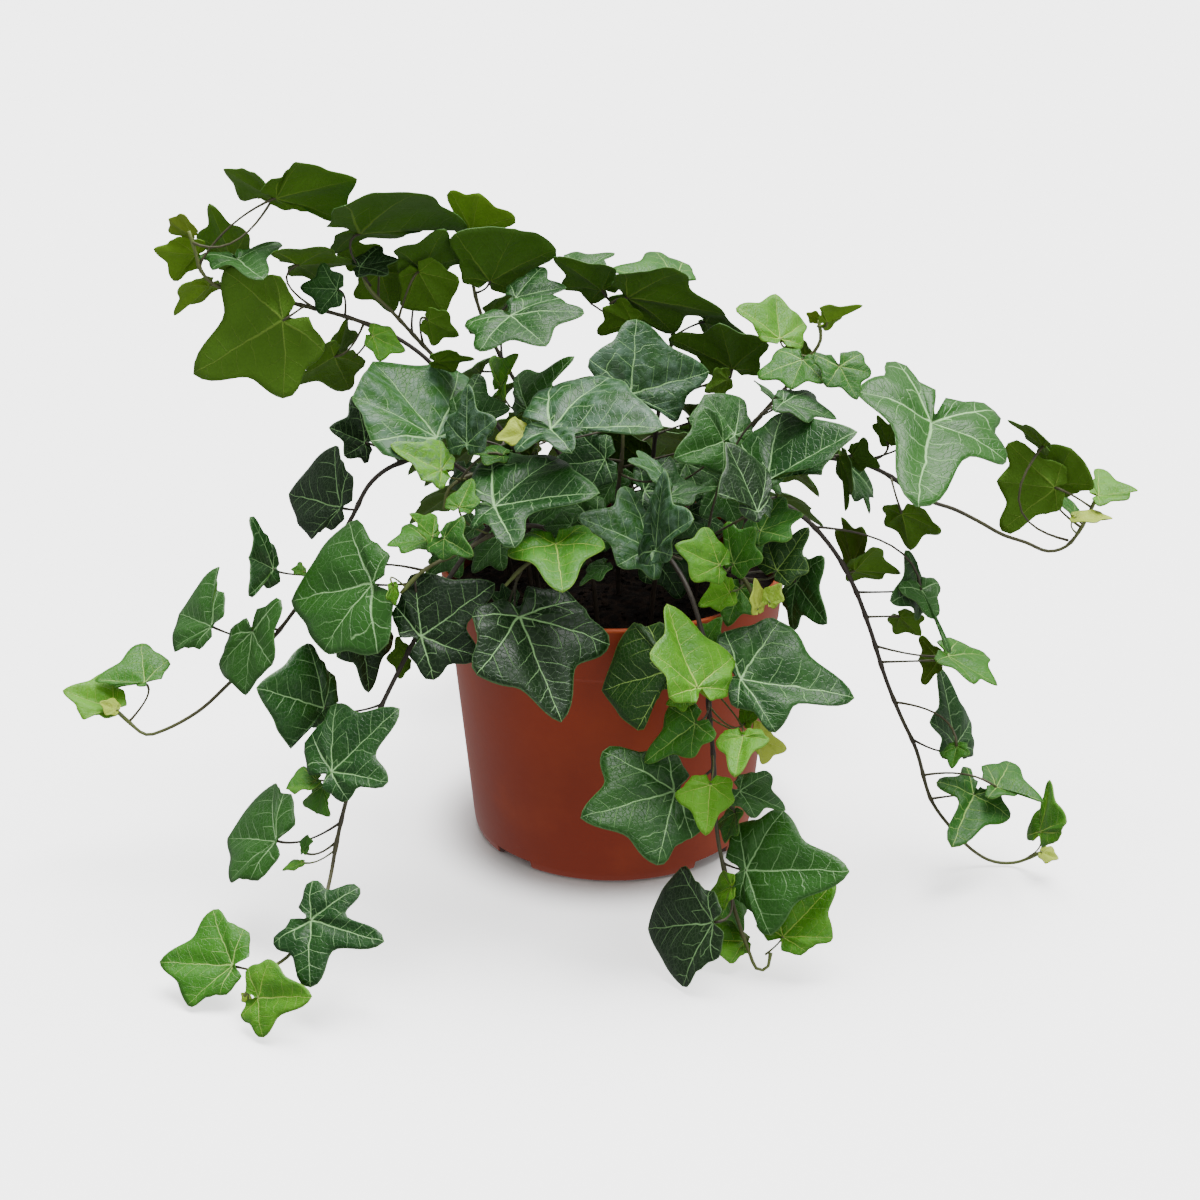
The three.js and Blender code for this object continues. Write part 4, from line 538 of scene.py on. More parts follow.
class Leaf:
    """A blade: where its stalk meets it, the ways it faces and points, its lobes and its bays."""

    def __init__(self, stem, age, origin, normal, along, length):
        self.stem = stem
        self.age = age
        self.origin = origin
        self.normal = normal
        self.along = along
        self.length = length
        self.face = "top"
        self.node = stem
        self.lobes = {}
        self.bays = {1: BAY_REACH[age], -1: BAY_REACH[age]}

    @property
    def across(self):
        return np.cross(self.normal, self.along)

    def at(self, x, y, height=0.0):
        """A point of the leaf: x and y in blade lengths, height in millimetres."""
        in_plane = self.along * (x * self.length) + self.across * (y * self.length)
        return self.origin + in_plane + self.normal * height


def view_axes(tip, left, right, mirror):
    """The view's image of the blade's axes: along its middle, and towards its left side."""
    reach, width = SIDE_LOBE
    if left is not None and right is not None:
        along = ((left + right) * reach + tip) / (1 + 2 * reach * reach)
        return along, (left - right) / (2 * width)
    if left is not None:
        return tip, (left - tip * reach) / width
    if right is not None:
        return tip, (tip * reach - right) / width
    return tip, np.array([-tip[1], tip[0]]) * mirror * math.hypot(reach, width)


def cross2(a, b):
    return a[0] * b[1] - a[1] * b[0]


def blade_normal(base, tip, sides, face, nearness):
    """The way the upper face points, from what the eye sees of a leaf of the plan shape."""
    share = depth_share(base, nearness)
    to_eye = unit(EYE - seen(base, nearness))
    right = unit(np.array([1.0, 0, 0]) - to_eye * to_eye[0])
    up = np.cross(to_eye, right)
    mirror = -1 if face == "under" else 1
    on_view = lambda place: (np.array(place, float) - base) * share
    t = on_view(tip)
    ends = [on_view(side) for side in sides]
    left = next((end for end in ends if cross2(t, end) * mirror > 0), None)
    other = next((end for end in ends if cross2(t, end) * mirror <= 0), None)
    along, across = view_axes(t, left, other, mirror)
    q = (across.dot(across) - along.dot(along)) * TILT_SHARE
    p = along.dot(across) * TILT_SHARE
    deep_along = math.sqrt((q + math.hypot(q, 2 * p)) / 2)
    deep_across = -p / deep_along if deep_along > 1e-6 else math.sqrt(max(-q, 0))
    normals = []
    for sign in (1, -1):
        e1 = right * along[0] + up * along[1] + to_eye * sign * deep_along
        e2 = right * across[0] + up * across[1] + to_eye * sign * deep_across
        normals.append(unit(np.cross(e1, e2)))
    normal = normals[0] if normals[0][2] >= normals[1][2] else normals[1]
    facing = normal.dot(to_eye)
    if abs(facing) < LEAST_FACING:
        normal = unit(normal + to_eye * (mirror * LEAST_FACING - facing))
    return normal


def lobe_end(found, plan):
    plan = np.array(plan, float)
    if found is None:
        return plan
    reach = math.hypot(*found)
    least, most = (share * math.hypot(*plan) for share in LOBE_RANGE)
    return found * (min(max(reach, least), most) / reach)


def read_leaf(stem, age, face, nearness, base, tip, sides, bases, bays=None):
    normal = blade_normal(base, tip, sides, face, nearness)
    origin = seen(base, nearness)
    middle = seen_on_plane(tip, origin, normal) - origin
    leaf = Leaf(stem, age, origin, normal, unit(middle), np.linalg.norm(middle))
    leaf.face = face

    def in_plane(place):
        reach = seen_on_plane(place, origin, normal) - origin
        return np.array([reach.dot(leaf.along), reach.dot(leaf.across)]) / leaf.length

    found = {}
    for kind, places in (("side", sides), ("base", bases)):
        for place in map(in_plane, places):
            found[kind, 1 if place[1] > 0 else -1] = place * (1, 1 if place[1] > 0 else -1)
    right = found.get(("side", -1), found.get(("side", 1)))
    left = found.get(("side", 1), right)
    leaf.lobes = {
        ("side", 1): lobe_end(left, SIDE_LOBE),
        ("side", -1): lobe_end(right, SIDE_LOBE),
        ("base", 1): lobe_end(found.get(("base", 1)), BASE_LOBE),
        ("base", -1): lobe_end(found.get(("base", -1)), BASE_LOBE),
    }
    for place, reach in zip(map(in_plane, sides), bays or ()):
        leaf.bays[1 if place[1] > 0 else -1] = reach
    return leaf


def grow_leaves(stem, age, count, start, end, length):
    """The leaves that the eye can't see: alternate sides, hanging outward, smaller to the tip."""
    leaves = []
    for i in range(count):
        share = start + (end - start) * (i / (count - 1))
        node = stem.point_along(share)
        flow = unit(stem.point_along(share + 0.03) - stem.point_along(share - 0.03))
        outward = unit(np.array([node[0], node[1], 0]))
        side = np.cross(outward, WORLD_UP) * (1 if i % 2 else -1)
        size = length * (1.05 - 0.3 * (i / count))
        origin = node + side * size * 0.35 + outward * size * 0.4 + WORLD_UP * size * 0.2
        normal = unit(outward + WORLD_UP * (0.7 + 0.15 * (i % 3)) + side * 0.25)
        along = side + flow * 0.5 - WORLD_UP * 0.5
        along = unit(along - normal * along.dot(normal))
        leaf = Leaf(stem.name, age, origin, normal, along, size)
        leaf.lobes = {
            (kind, side): np.array(plan, float)
            for kind, plan in (("side", SIDE_LOBE), ("base", BASE_LOBE))
            for side in (1, -1)
        }
        leaves.append(leaf)
    return leaves


def settle(leaf, stem):
    """Puts a leaf where its solid is: somewhere along the line of sight from its first place.

    Says whether there is such a solid."""
    start = leaf.origin
    ray = unit(start - EYE)
    half = BLADE_THICKNESS / 2
    marks = [(1, 0), NOTCH] + [(x, y * side) for (kind, side), (x, y) in leaf.lobes.items()]
    for amount in SHIFTS:
        leaf.origin = start - ray * amount
        owners = [stem.corners.owner(leaf.at(*m, h)) for m in marks for h in (half, -half)]
        named = [owner for owner in owners if owner]
        if len(named) >= 6:
            leaf.node = max(set(named), key=named.count)
            return True
    leaf.origin = start
    return False


def stalk_course(leaf, stem):
    """The stalk's course: of those that the solids choose from, the one that is there."""
    nearest = stem.nearest_share(leaf.origin)
    distance = np.linalg.norm(stem.point_along(nearest) - leaf.origin)
    is_part = leaf.node != stem.name
    steps = 3 if is_part else 2
    best = None
    for back in STALK_STARTS:
        start = stem.point_along(nearest - (back * distance + 1) / stem.length)
        span = np.linalg.norm(leaf.origin - start)
        for behind, below in STALK_BOWS:
            control = leaf.origin - leaf.along * behind * span - leaf.normal * below * span
            course = bowed(start, control, leaf.origin)
            inner = course.spaced(steps)[1:-1]
            if any(stem.corners.ring_size(point, STALK_RADIUS) >= 3 for point in inner):
                return course
            best = best or course
    return best


# ---- shader expressions -------------------------------------------------------------------


class Value:
    """A number that varies over a surface. Arithmetic on it adds Math nodes."""

    def __init__(self, finish, socket):
        self.finish = finish
        self.socket = socket

    def maths(self, operation, *inputs):
        node = self.finish.node("ShaderNodeMath", {"operation": operation}, dict(enumerate(inputs)))
        return Value(self.finish, node.outputs[0])

    def __add__(self, other):
        return self.maths("ADD", self, other)

    __radd__ = __add__

    def __sub__(self, other):
        return self.maths("SUBTRACT", self, other)

    def __rsub__(self, other):
        return self.maths("SUBTRACT", other, self)

    def __mul__(self, other):
        return self.maths("MULTIPLY", self, other)

    __rmul__ = __mul__

    def __truediv__(self, other):
        return self.maths("DIVIDE", self, other)

    def __pow__(self, other):
        return self.maths("POWER", self, other)

    def __gt__(self, other):
        return self.maths("GREATER_THAN", self, other)

    def abs(self):
        return self.maths("ABSOLUTE", self)

    def ramp(self, low, high, start=0.0, end=1.0):
        """start below low, end above high, and a smooth change between them."""
        node = self.finish.node(
            "ShaderNodeMapRange",
            {"interpolation_type": "SMOOTHSTEP"},
            {"Value": self, "From Min": low, "From Max": high, "To Min": start, "To Max": end},
        )
        return Value(self.finish, node.outputs["Result"])


class Finish:
    """A material in the making."""

    def __init__(self, name):
        self.material = bpy.data.materials.new(name)
        self.material.use_nodes = True
        self.tree = self.material.node_tree
        self.shader = self.tree.nodes["Principled BSDF"]

    def node(self, kind, settings=(), inputs=()):
        node = self.tree.nodes.new(kind)
        for name, value in dict(settings).items():
            setattr(node, name, value)
        self.feed(node, inputs)
        return node

    def feed(self, node, inputs):
        for name, value in dict(inputs).items():
            socket = node.inputs[name]
            if isinstance(value, Value):
                self.tree.links.new(value.socket, socket)
            elif isinstance(value, bpy.types.NodeSocket):
                self.tree.links.new(value, socket)
            elif isinstance(value, (tuple, list)) and socket.type == "RGBA":
                socket.default_value = (*value[:3], 1)
            else:
                socket.default_value = value

    def attribute(self, name):
        node = self.node("ShaderNodeAttribute", {"attribute_name": name})
        return Value(self, node.outputs["Fac"])

    def noise(self, place, scale, detail=3.0, roughness=0.55):
        node = self.node(
            "ShaderNodeTexNoise",
            {"noise_dimensions": "3D"},
            {"Vector": place, "Scale": scale, "Detail": detail, "Roughness": roughness},
        )
        return Value(self, node.outputs["Fac"])

    def cells(self, place, scale, feature="DISTANCE_TO_EDGE"):
        node = self.node(
            "ShaderNodeTexVoronoi", {"feature": feature}, {"Vector": place, "Scale": scale}
        )
        return Value(self, node.outputs["Distance"])

    def mix(self, share, one, other):
        node = self.node("ShaderNodeMix", {"data_type": "RGBA"})
        self.feed(node, {0: share, 6: one, 7: other})
        return node.outputs[2]

    def place(self):
        return self.node("ShaderNodeTexCoord").outputs["Object"]

    def bump(self, height, strength, distance):
        node = self.node(
            "ShaderNodeBump", {}, {"Height": height, "Strength": strength, "Distance": distance}
        )
        return node.outputs["Normal"]

    def done(self, **inputs):
        self.feed(self.shader, {name.replace("_", " "): value for name, value in inputs.items()})
        return self.material


def colour(code):
    """The linear colour of a #rrggbb code."""
    parts = [int(code[i:i + 2], 16) / 255 for i in (1, 3, 5)]
    return tuple(p / 12.92 if p <= 0.04045 else ((p + 0.055) / 1.055) ** 2.4 for p in parts)


# ---- finishes -----------------------------------------------------------------------------


# The veins, in blade lengths: half a strong vein's width and what it loses towards the edge, the
# way from one branch to the next, and how many cells of the net there are to the whole plan.
VEIN_HALF_WIDTH = 0.0125
VEIN_TAPER = 0.009
BRANCH_STEP = 0.17
NET_CELLS = 52

# How far apart in the noise the leaves lie, so that no two are mottled alike.
LEAF_SPREAD = 37


def leaf_place(finish):
    """A place on the leaf's plan, and the same place in a noise space of each leaf's own."""
    plan = finish.node("ShaderNodeUVMap", {"uv_map": "leaf_plan"}).outputs[0]
    shift = finish.attribute("tint") * LEAF_SPREAD
    apart = finish.node("ShaderNodeCombineXYZ", {}, {"Z": shift})
    own = finish.node("ShaderNodeVectorMath", {"operation": "ADD"}, {0: plan, 1: apart.outputs[0]})
    return plan, own.outputs[0]


def vein_pattern(finish, plan, own):
    """The leaf's veins: strong ones to the lobes, their branches, and the net between them."""
    apart = finish.node("ShaderNodeSeparateXYZ", {}, {0: plan})
    sway = finish.noise(own, 9, 2.0) - 0.5
    drift = finish.noise(own, 13, 2.0) - 0.5
    x = (Value(finish, apart.outputs[0]) - 0.5) * PLAN_SPAN + drift * 0.05
    y = (Value(finish, apart.outputs[1]) - 0.5) * PLAN_SPAN + sway * 0.07
    aside = y.abs()
    reach = (x * x + y * y) ** 0.5
    turn = aside.maths("ARCTAN2", aside, x)
    side_turn = math.atan2(SIDE_LOBE[1], SIDE_LOBE[0])
    base_turn = math.atan2(BASE_LOBE[1], BASE_LOBE[0])
    past_tip = turn > side_turn / 2
    past_side = turn > (side_turn + base_turn) / 2
    off = turn - past_tip * side_turn - past_side * (base_turn - side_turn)
    along = reach * off.maths("COSINE", off)
    across = (reach * off.maths("SINE", off)).abs()
    edge = finish.attribute("edge")
    strong = (across / (VEIN_HALF_WIDTH - edge * VEIN_TAPER)).ramp(0.4, 1.2, 1.0, 0.0)
    half_step = (y > 0) * 0.5
    rank = (along - across * 0.8 + across * across * 0.6) / BRANCH_STEP + half_step + sway * 0.6
    line = (rank.maths("FRACT", rank) - 0.5).abs()
    branch = line.ramp(0.5, 0.458, 1.0, 0.0) * across.ramp(0.3, 0.1) * edge.ramp(1.0, 0.85)
    net = finish.cells(own, NET_CELLS).ramp(0.0, 0.1, 1.0, 0.0)
    return strong, branch, net, edge


# What each age looks like: the two greens that its upper face is mottled with, its veins, its
# underside and the veins there, how rough it is at least, and how clearly the veins show. The
# underside's green is its own paler colour, and lighter still as painted light shining through the
# blade.
LEAF_LOOKS = {
    "old": ("#22530f", "#0d370a", "#86b374", "#426a10", "#7d9a3a", 0.3, 1.0),
    "mid": ("#33700e", "#184f08", "#92b95c", "#4d7612", "#86a540", 0.33, 0.9),
    "young": ("#549010", "#2c6607", "#a6c456", "#6b951c", "#9ab850", 0.36, 0.7),
    "bud": ("#a5b83a", "#76991c", "#bfcb6e", "#7a9626", "#a2b550", 0.38, 0.6),
}


def leaf_finish(age):
    """A waxy blade: mottled between two greens, with pale veins sunk in its upper face, a painted
    grey sheen on some blades and painted shade on others.
    """
    *greens, roughness, marked = LEAF_LOOKS[age]
    fresh, deep, vein, under, under_vein = map(colour, greens)
    finish = Finish(f"leaf_{age}")
    plan, own = leaf_place(finish)
    strong, branch, net, edge = vein_pattern(finish, plan, own)
    tint = finish.attribute("tint")
    down = finish.attribute("underside")
    patches = finish.noise(own, 7.5)
    specks = finish.noise(own, 60, 2.0)
    crinkle = finish.noise(own, 22, 2.0)
    upper = finish.mix((patches * 1.2 + tint * 0.9 - 0.55).ramp(0, 1), deep, fresh)
    upper = finish.mix(specks.ramp(0.52, 0.72) * 0.22, upper, fresh)
    # Painted light, one value for each blade: above zero a painted grey sheen is dappled over the
    # green, below zero the green is darkened as painted shade.
    painted_light = finish.attribute("painted_light")
    # Painted shade: the blades in the shade list are darkened towards a third of their deep green.
    upper = finish.mix((0 - painted_light).ramp(0, 1) * 0.85, upper, tuple(0.3 * part for part in deep))
    painted_sheen = painted_light.ramp(0, 1) * crinkle.ramp(0.35, 0.8) * 0.8
    upper = finish.mix(painted_sheen, upper, PAINTED_SHEEN_GREY)
    upper = finish.mix(net * 0.07 * marked, upper, vein)
    upper = finish.mix(branch * 0.7 * marked, upper, vein)
    upper = finish.mix(strong * 0.95 * marked, upper, vein)
    upper = finish.mix(edge.ramp(0.975, 1.0) * 0.25, upper, vein)
    lower = finish.mix(patches, under, tuple(0.7 * part for part in under))
    lower = finish.mix(branch * 0.2 + strong * 0.4, lower, under_vein)
    sunk = (strong * 0.8 + branch * 0.5 + net * 0.25) * (2 * down - 1)
    height = sunk + patches * 0.6 + crinkle * 1.2
    return finish.done(
        Base_Color=finish.mix(down, upper, lower),
        Roughness=down * 0.3 + (patches * 0.16 + specks * 0.08 + roughness),
        Specular_IOR_Level=0.3,
        Normal=finish.bump(height, 0.7, 0.0005),
    )


def bark_finish():
    finish = Finish("stem_bark")
    place = finish.place()
    youth = finish.attribute("youth")
    grain = finish.noise(place, 700, 4.0)
    long_grain = finish.noise(place, 190, 3.0)
    old = finish.mix(grain, colour("#1c1713"), colour("#40372b"))
    olive = finish.mix(grain, colour("#3c3a1f"), colour("#565632"))
    young = finish.mix(grain, colour("#566b28"), colour("#7d8a45"))
    shown = finish.mix((youth + long_grain * 0.5 - 0.25).ramp(0.2, 0.65), old, olive)
    shown = finish.mix(youth.ramp(0.6, 1.0), shown, young)
    return finish.done(
        Base_Color=shown,
        Roughness=grain * 0.3 + 0.45,
        Normal=finish.bump(grain + long_grain, 0.5, 0.0003),
    )


def pot_finish():
    """Moulded plastic, duller and darker towards the foot, with fine scuffs and dust, a painted
    highlight on the rim's top and painted shade down the inner wall.
    """
    finish = Finish("pot_plastic")
    place = finish.place()
    apart = finish.node("ShaderNodeSeparateXYZ", {}, {0: place})
    height = Value(finish, apart.outputs[2])
    cloud = finish.noise(place, 28, 4.0)
    fine = finish.noise(place, 420, 2.0)
    shown = finish.mix(height.ramp(0.0, 0.075), colour("#802708"), colour("#91310c"))
    shown = finish.mix(cloud.ramp(0.42, 0.72) * 0.4, shown, colour("#a5441c"))
    # Painted highlight: the top of the rim is lighter, as the overhead light falls on it.
    painted_highlight_rim = height.ramp(0.1086, 0.1096)
    shown = finish.mix(painted_highlight_rim * 0.6, shown, colour("#b5521f"))
    dust = finish.noise(place, 95, 5.0).ramp(0.62, 0.8) * height.ramp(0.035, 0.0)
    shown = finish.mix(dust * 0.3, shown, colour("#7d5a42"))
    # Painted shade: the inner wall, from just below the rim down, is darkened to a near-black brown,
    # as the shade inside the pot.
    flat = finish.node("ShaderNodeVectorMath", {"operation": "MULTIPLY"}, {0: place, 1: (1, 1, 0)})
    axis = finish.node("ShaderNodeVectorMath", {"operation": "LENGTH"}, {0: flat.outputs[0]})
    slope = (wall_radius(POT_HEIGHT) - BASE_RADIUS) / POT_HEIGHT
    depth = height * slope + BASE_RADIUS * MM - Value(finish, axis.outputs["Value"])
    painted_shade_inside = depth.ramp(0.0006, 0.0011) * height.ramp(0.1092, 0.105)
    shown = finish.mix(painted_shade_inside * (cloud * 0.3 + 0.7), shown, colour("#1f0b05"))
    return finish.done(
        Base_Color=shown,
        Specular_IOR_Level=0.3,
        Roughness=cloud * 0.22 + 0.36,
        Normal=finish.bump(fine * 0.4 + cloud, 0.25, 0.0004),
    )


def soil_finish():
    finish = Finish("potting_mix")
    place = finish.place()
    grain = finish.noise(place, 320, 5.0, 0.7)
    crumbs = finish.cells(place, 260, "F1")
    # Painted shade: the mix's browns are close to black, partly its own dark colour and partly the
    # crown's shade over it.
    shown = finish.mix(grain.ramp(0.35, 0.7), colour("#060403"), colour("#140c07"))
    shown = finish.mix(crumbs.ramp(0.45, 0.7) * 0.3, shown, colour("#2a1d13"))
    return finish.done(
        Base_Color=shown,
        Roughness=0.95,
        Specular_IOR_Level=0.1,
        Normal=finish.bump(grain - crumbs, 0.9, 0.0012),
    )


def ground_finish():
    """Pale, with a glow that keeps it near white, but none under the pot and less round its foot, as
    a painted shadow.
    """
    finish = Finish("pale_ground")
    place = finish.place()
    axis = finish.node("ShaderNodeVectorMath", {"operation": "LENGTH"}, {0: place})
    # Painted shadow: no glow under the pot, fading in from its foot out to the painted shadow's
    # radius.
    outside = Value(finish, axis.outputs["Value"]).ramp(BASE_RADIUS * MM, PAINTED_SHADOW_RADIUS * MM)
    return finish.done(
        Base_Color=finish.mix(finish.noise(place, 3.0), (0.86, 0.86, 0.86), (0.9, 0.9, 0.9)),
        Roughness=0.9,
        Emission_Color=finish.mix(outside, (0, 0, 0), (1, 1, 1)),
        Emission_Strength=GROUND_GLOW,
    )


# ---- mesh making --------------------------------------------------------------------------


def make_piece(name, points, faces, attributes=(), plan=None):
    """An object from points in millimetres. A plan is a place on the leaf for each point."""
    mesh = bpy.data.meshes.new(name)
    mesh.from_pydata((np.asarray(points) * MM).tolist(), [], faces)
    mesh.update()
    mesh.shade_smooth()
    for key, values in dict(attributes).items():
        layer = mesh.attributes.new(key, "FLOAT", "POINT")
        layer.data.foreach_set("value", np.asarray(values, np.float32))
    if plan is not None:
        layer = mesh.uv_layers.new(name="leaf_plan")
        corners = np.zeros(len(mesh.loops), np.int32)
        mesh.loops.foreach_get("vertex_index", corners)
        layer.data.foreach_set("uv", np.asarray(plan, np.float32)[corners].ravel())
    piece = bpy.data.objects.new(name, mesh)
    bpy.context.scene.collection.objects.link(piece)
    return piece


def wear(piece, material, slot, *nodes):
    piece.data.materials.append(material)
    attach(piece, "root")
    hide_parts(*nodes)


class Tubes:
    """Round tubes gathered into one mesh, with an age along each."""

    def __init__(self):
        self.points = []
        self.faces = []
        self.youth = []

    def add(self, line, radii, sides, youth):
        first = len(self.points)
        flow = np.gradient(line, axis=0)
        aside = np.cross(flow[0], WORLD_UP if abs(unit(flow[0])[2]) < 0.9 else (1.0, 0, 0))
        for centre, ahead, radius, age in zip(line, flow, radii, youth):
            ahead = unit(ahead)
            aside = unit(aside - ahead * aside.dot(ahead))
            other = np.cross(ahead, aside)
            for i in range(sides):
                turn = 2 * math.pi * i / sides
                arm = aside * math.cos(turn) + other * math.sin(turn)
                self.points.append(centre + arm * radius)
                self.youth.append(age)
        rings = len(line)
        for ring in range(rings - 1):
            here = first + ring * sides
            for i in range(sides):
                j = (i + 1) % sides
                self.faces.append([here + i, here + j, here + sides + j, here + sides + i])
        self.faces.append([first + i for i in reversed(range(sides))])
        self.faces.append([first + (rings - 1) * sides + i for i in range(sides)])


# ---- blades -------------------------------------------------------------------------------

# How many points the outline takes on each flank: tip to bay, bay to side lobe, side lobe to
# bay, bay to base lobe, base lobe to heel, and heel to notch.
FLANK_STEPS = (7, 6, 5, 4, 4, 4)
BLADE_RINGS = 9
RING_CROWDING = 0.85

# How a lobe's end is rounded: how far back and how far aside its flank sets out, as shares of
# the way to the bay.
TIP_ROUNDING = (0.16, 0.36)
SIDE_ROUNDING = (0.02, 0.46)
BASE_ROUNDING = (0.0, 0.5)


def flank(lobe, bay, steps, rounding, softness=0.24):
    """Points from a lobe's end to a bay, without the bay itself, and how far along each is."""
    gap = np.linalg.norm(lobe - bay)
    axis = unit(lobe)
    towards = unit((bay - lobe) - axis * (bay - lobe).dot(axis) + 1e-9)
    radial = unit(bay)
    back = unit((lobe - bay) - radial * (lobe - bay).dot(radial) + 1e-9)
    near_lobe = lobe - axis * gap * rounding[0] + towards * gap * rounding[1]
    near_bay = bay + back * gap * softness
    points = []
    for i in range(steps):
        t = i / steps
        points.append((1 - t) ** 3 * lobe + 3 * t * (1 - t) ** 2 * near_lobe
                      + 3 * t * t * (1 - t) * near_bay + t**3 * bay)
    return points, [i / steps for i in range(steps)]


def bay_point(one, other, reach):
    """Between two lobes: that share of the way out to the straight line that joins their ends."""
    a, b = math.hypot(*one), math.hypot(*other)
    turn_a, turn_b = math.atan2(one[1], one[0]), math.atan2(other[1], other[0])
    radius = reach * 2 * a * b * math.cos((turn_a - turn_b) / 2) / (a + b)
    turn = (turn_a + turn_b) / 2
    return np.array([radius * math.cos(turn), radius * math.sin(turn)])


def heel_point(base):
    """Where the base lobe has come round towards the stalk."""
    radius = HEEL_REACH * math.hypot(*base)
    turn = (math.atan2(base[1], base[0]) + math.pi) / 2
    return np.array([radius * math.cos(turn), radius * math.sin(turn)])


def half_rim(side, base, reach):
    """The outline's left half from tip to notch, and how far each point is from its lobe."""
    tip = np.array([1.0, 0.0])
    upper_bay = bay_point(side, tip, reach)
    lower_bay = bay_point(base, side, (1 + reach) / 2)
    heel = heel_point(base)
    notch = np.array(NOTCH, float)
    legs = (
        (tip, upper_bay, TIP_ROUNDING, False), (side, upper_bay, SIDE_ROUNDING, True),
        (side, lower_bay, SIDE_ROUNDING, False), (base, lower_bay, BASE_ROUNDING, True),
        (base, heel, BASE_ROUNDING, False), (heel, notch, BASE_ROUNDING, False),
    )
    points, depths = [], []
    for steps, (lobe, bay, rounding, backward) in zip(FLANK_STEPS, legs):
        found, depth = flank(lobe, bay, steps, rounding)
        if backward:
            found = [bay, *found[:0:-1]]
            depth = [1.0, *depth[:0:-1]]
        if lobe is base and not backward:
            depth = [0.4 * part for part in depth]
        if lobe is heel:
            depth = [0.4 + 0.6 * part for part in depth]
        points += found
        depths += depth
    return points, depths


def rim(lobes, bays):
    left, depth = half_rim(lobes["side", 1], lobes["base", 1], bays[1])
    right, _ = half_rim(lobes["side", -1], lobes["base", -1], bays[-1])
    right = [np.array([x, -y]) for x, y in right[:0:-1]]
    return (
        np.array([*left, np.array(NOTCH, float), *right]),
        np.array([*depth, 1.0, *depth[:0:-1]]),
    )


PLAN_LOBES = {
    (kind, side): np.array(plan, float)
    for kind, plan in (("side", SIDE_LOBE), ("base", BASE_LOBE))
    for side in (1, -1)
}

# How a blade is shaped out of its plane, as shares of its length.
RELIEF = {
    "old": {"dome": 0.045, "bay": 0.05, "fold": 0.03, "wave": 0.025},
    "mid": {"dome": 0.04, "bay": 0.045, "fold": 0.04, "wave": 0.025},
    "young": {"dome": 0.03, "bay": 0.04, "fold": 0.06, "wave": 0.02},
    "bud": {"dome": 0.02, "bay": 0.03, "fold": 0.09, "wave": 0.01},
}
LOBE_SWELL = 0.02
FOLD_WIDTH = 0.16

# The waves of its rim start anywhere in a turn.
WAVE_TURN = 6.28


def blade_points(leaf, chance):
    """The upper face's points, one middle point and then rings, with their plan and edge."""
    shape = RELIEF[leaf.age]
    outline, depth = rim(leaf.lobes, leaf.bays)
    plan_outline, _ = rim(PLAN_LOBES, leaf.bays)
    phase, lively = chance.uniform(0, WAVE_TURN), chance.uniform(0.6, 1.5)
    turns = np.arctan2(plan_outline[:, 1], plan_outline[:, 0])
    points, plan, edges = [leaf.at(0, 0)], [np.zeros(2)], [0.0]
    for ring in range(1, BLADE_RINGS + 1):
        share = (ring / BLADE_RINGS) ** RING_CROWDING
        for i, (x, y) in enumerate(outline * share):
            between = math.sin(depth[i] * math.pi / 2)
            rise = shape["dome"] * 4 * share * (1 - share)
            rise += shape["bay"] * between * share * share * lively
            rise += LOBE_SWELL * math.sin(math.pi * share) * between
            rise -= shape["fold"] * 4 * share * (1 - share) * math.exp(-((y / FOLD_WIDTH) ** 2))
            rise += shape["wave"] * lively * between * share**3 * math.sin(phase + 4 * turns[i])
            points.append(leaf.at(x, y, rise * leaf.length))
            plan.append(plan_outline[i] * share)
            edges.append(share)
    return np.array(points), np.array(plan), np.array(edges)


def blade_piece(name, leaf, chance, painted_light):
    upper, plan, edges = blade_points(leaf, chance)
    count = (len(upper) - 1) // BLADE_RINGS
    lower = upper - leaf.normal * BLADE_SKIN
    faces = [[0, 1 + i, 1 + (i + 1) % count] for i in range(count)]
    for ring in range(BLADE_RINGS - 1):
        here = 1 + ring * count
        for i in range(count):
            j = (i + 1) % count
            faces.append([here + i, here + count + i, here + count + j, here + j])
    shift = len(upper)
    faces += [[shift + corner for corner in reversed(face)] for face in faces]
    last = 1 + (BLADE_RINGS - 1) * count
    for i in range(count):
        j = (i + 1) % count
        faces.append([last + i, shift + last + i, shift + last + j, last + j])
    underside = [0.0] * len(upper) + [1.0] * len(upper)
    attributes = {
        "edge": np.concatenate([edges, edges]),
        "underside": underside,
        "tint": [chance.uniform(0, 1)] * len(underside),
        "painted_light": [painted_light] * len(underside),
    }
    points = np.concatenate([upper, lower])
    plan = np.concatenate([plan, plan]) / PLAN_SPAN + 0.5
    return make_piece(name, points, faces, attributes, plan)


# ---- stems and stalks ---------------------------------------------------------------------


# The rings and sides of the tubes, the length that a stem swells over where a leaf starts, and how
# young the stalk of each age of leaf looks.
STEM_RING_STEP = 2.5
STEM_SIDES = 10
STALK_RINGS = 10
STALK_SIDES = 8
SWELL_LENGTH = 1.6
STALK_YOUTH = {"old": 0.35, "mid": 0.5, "young": 0.75, "bud": 0.85}


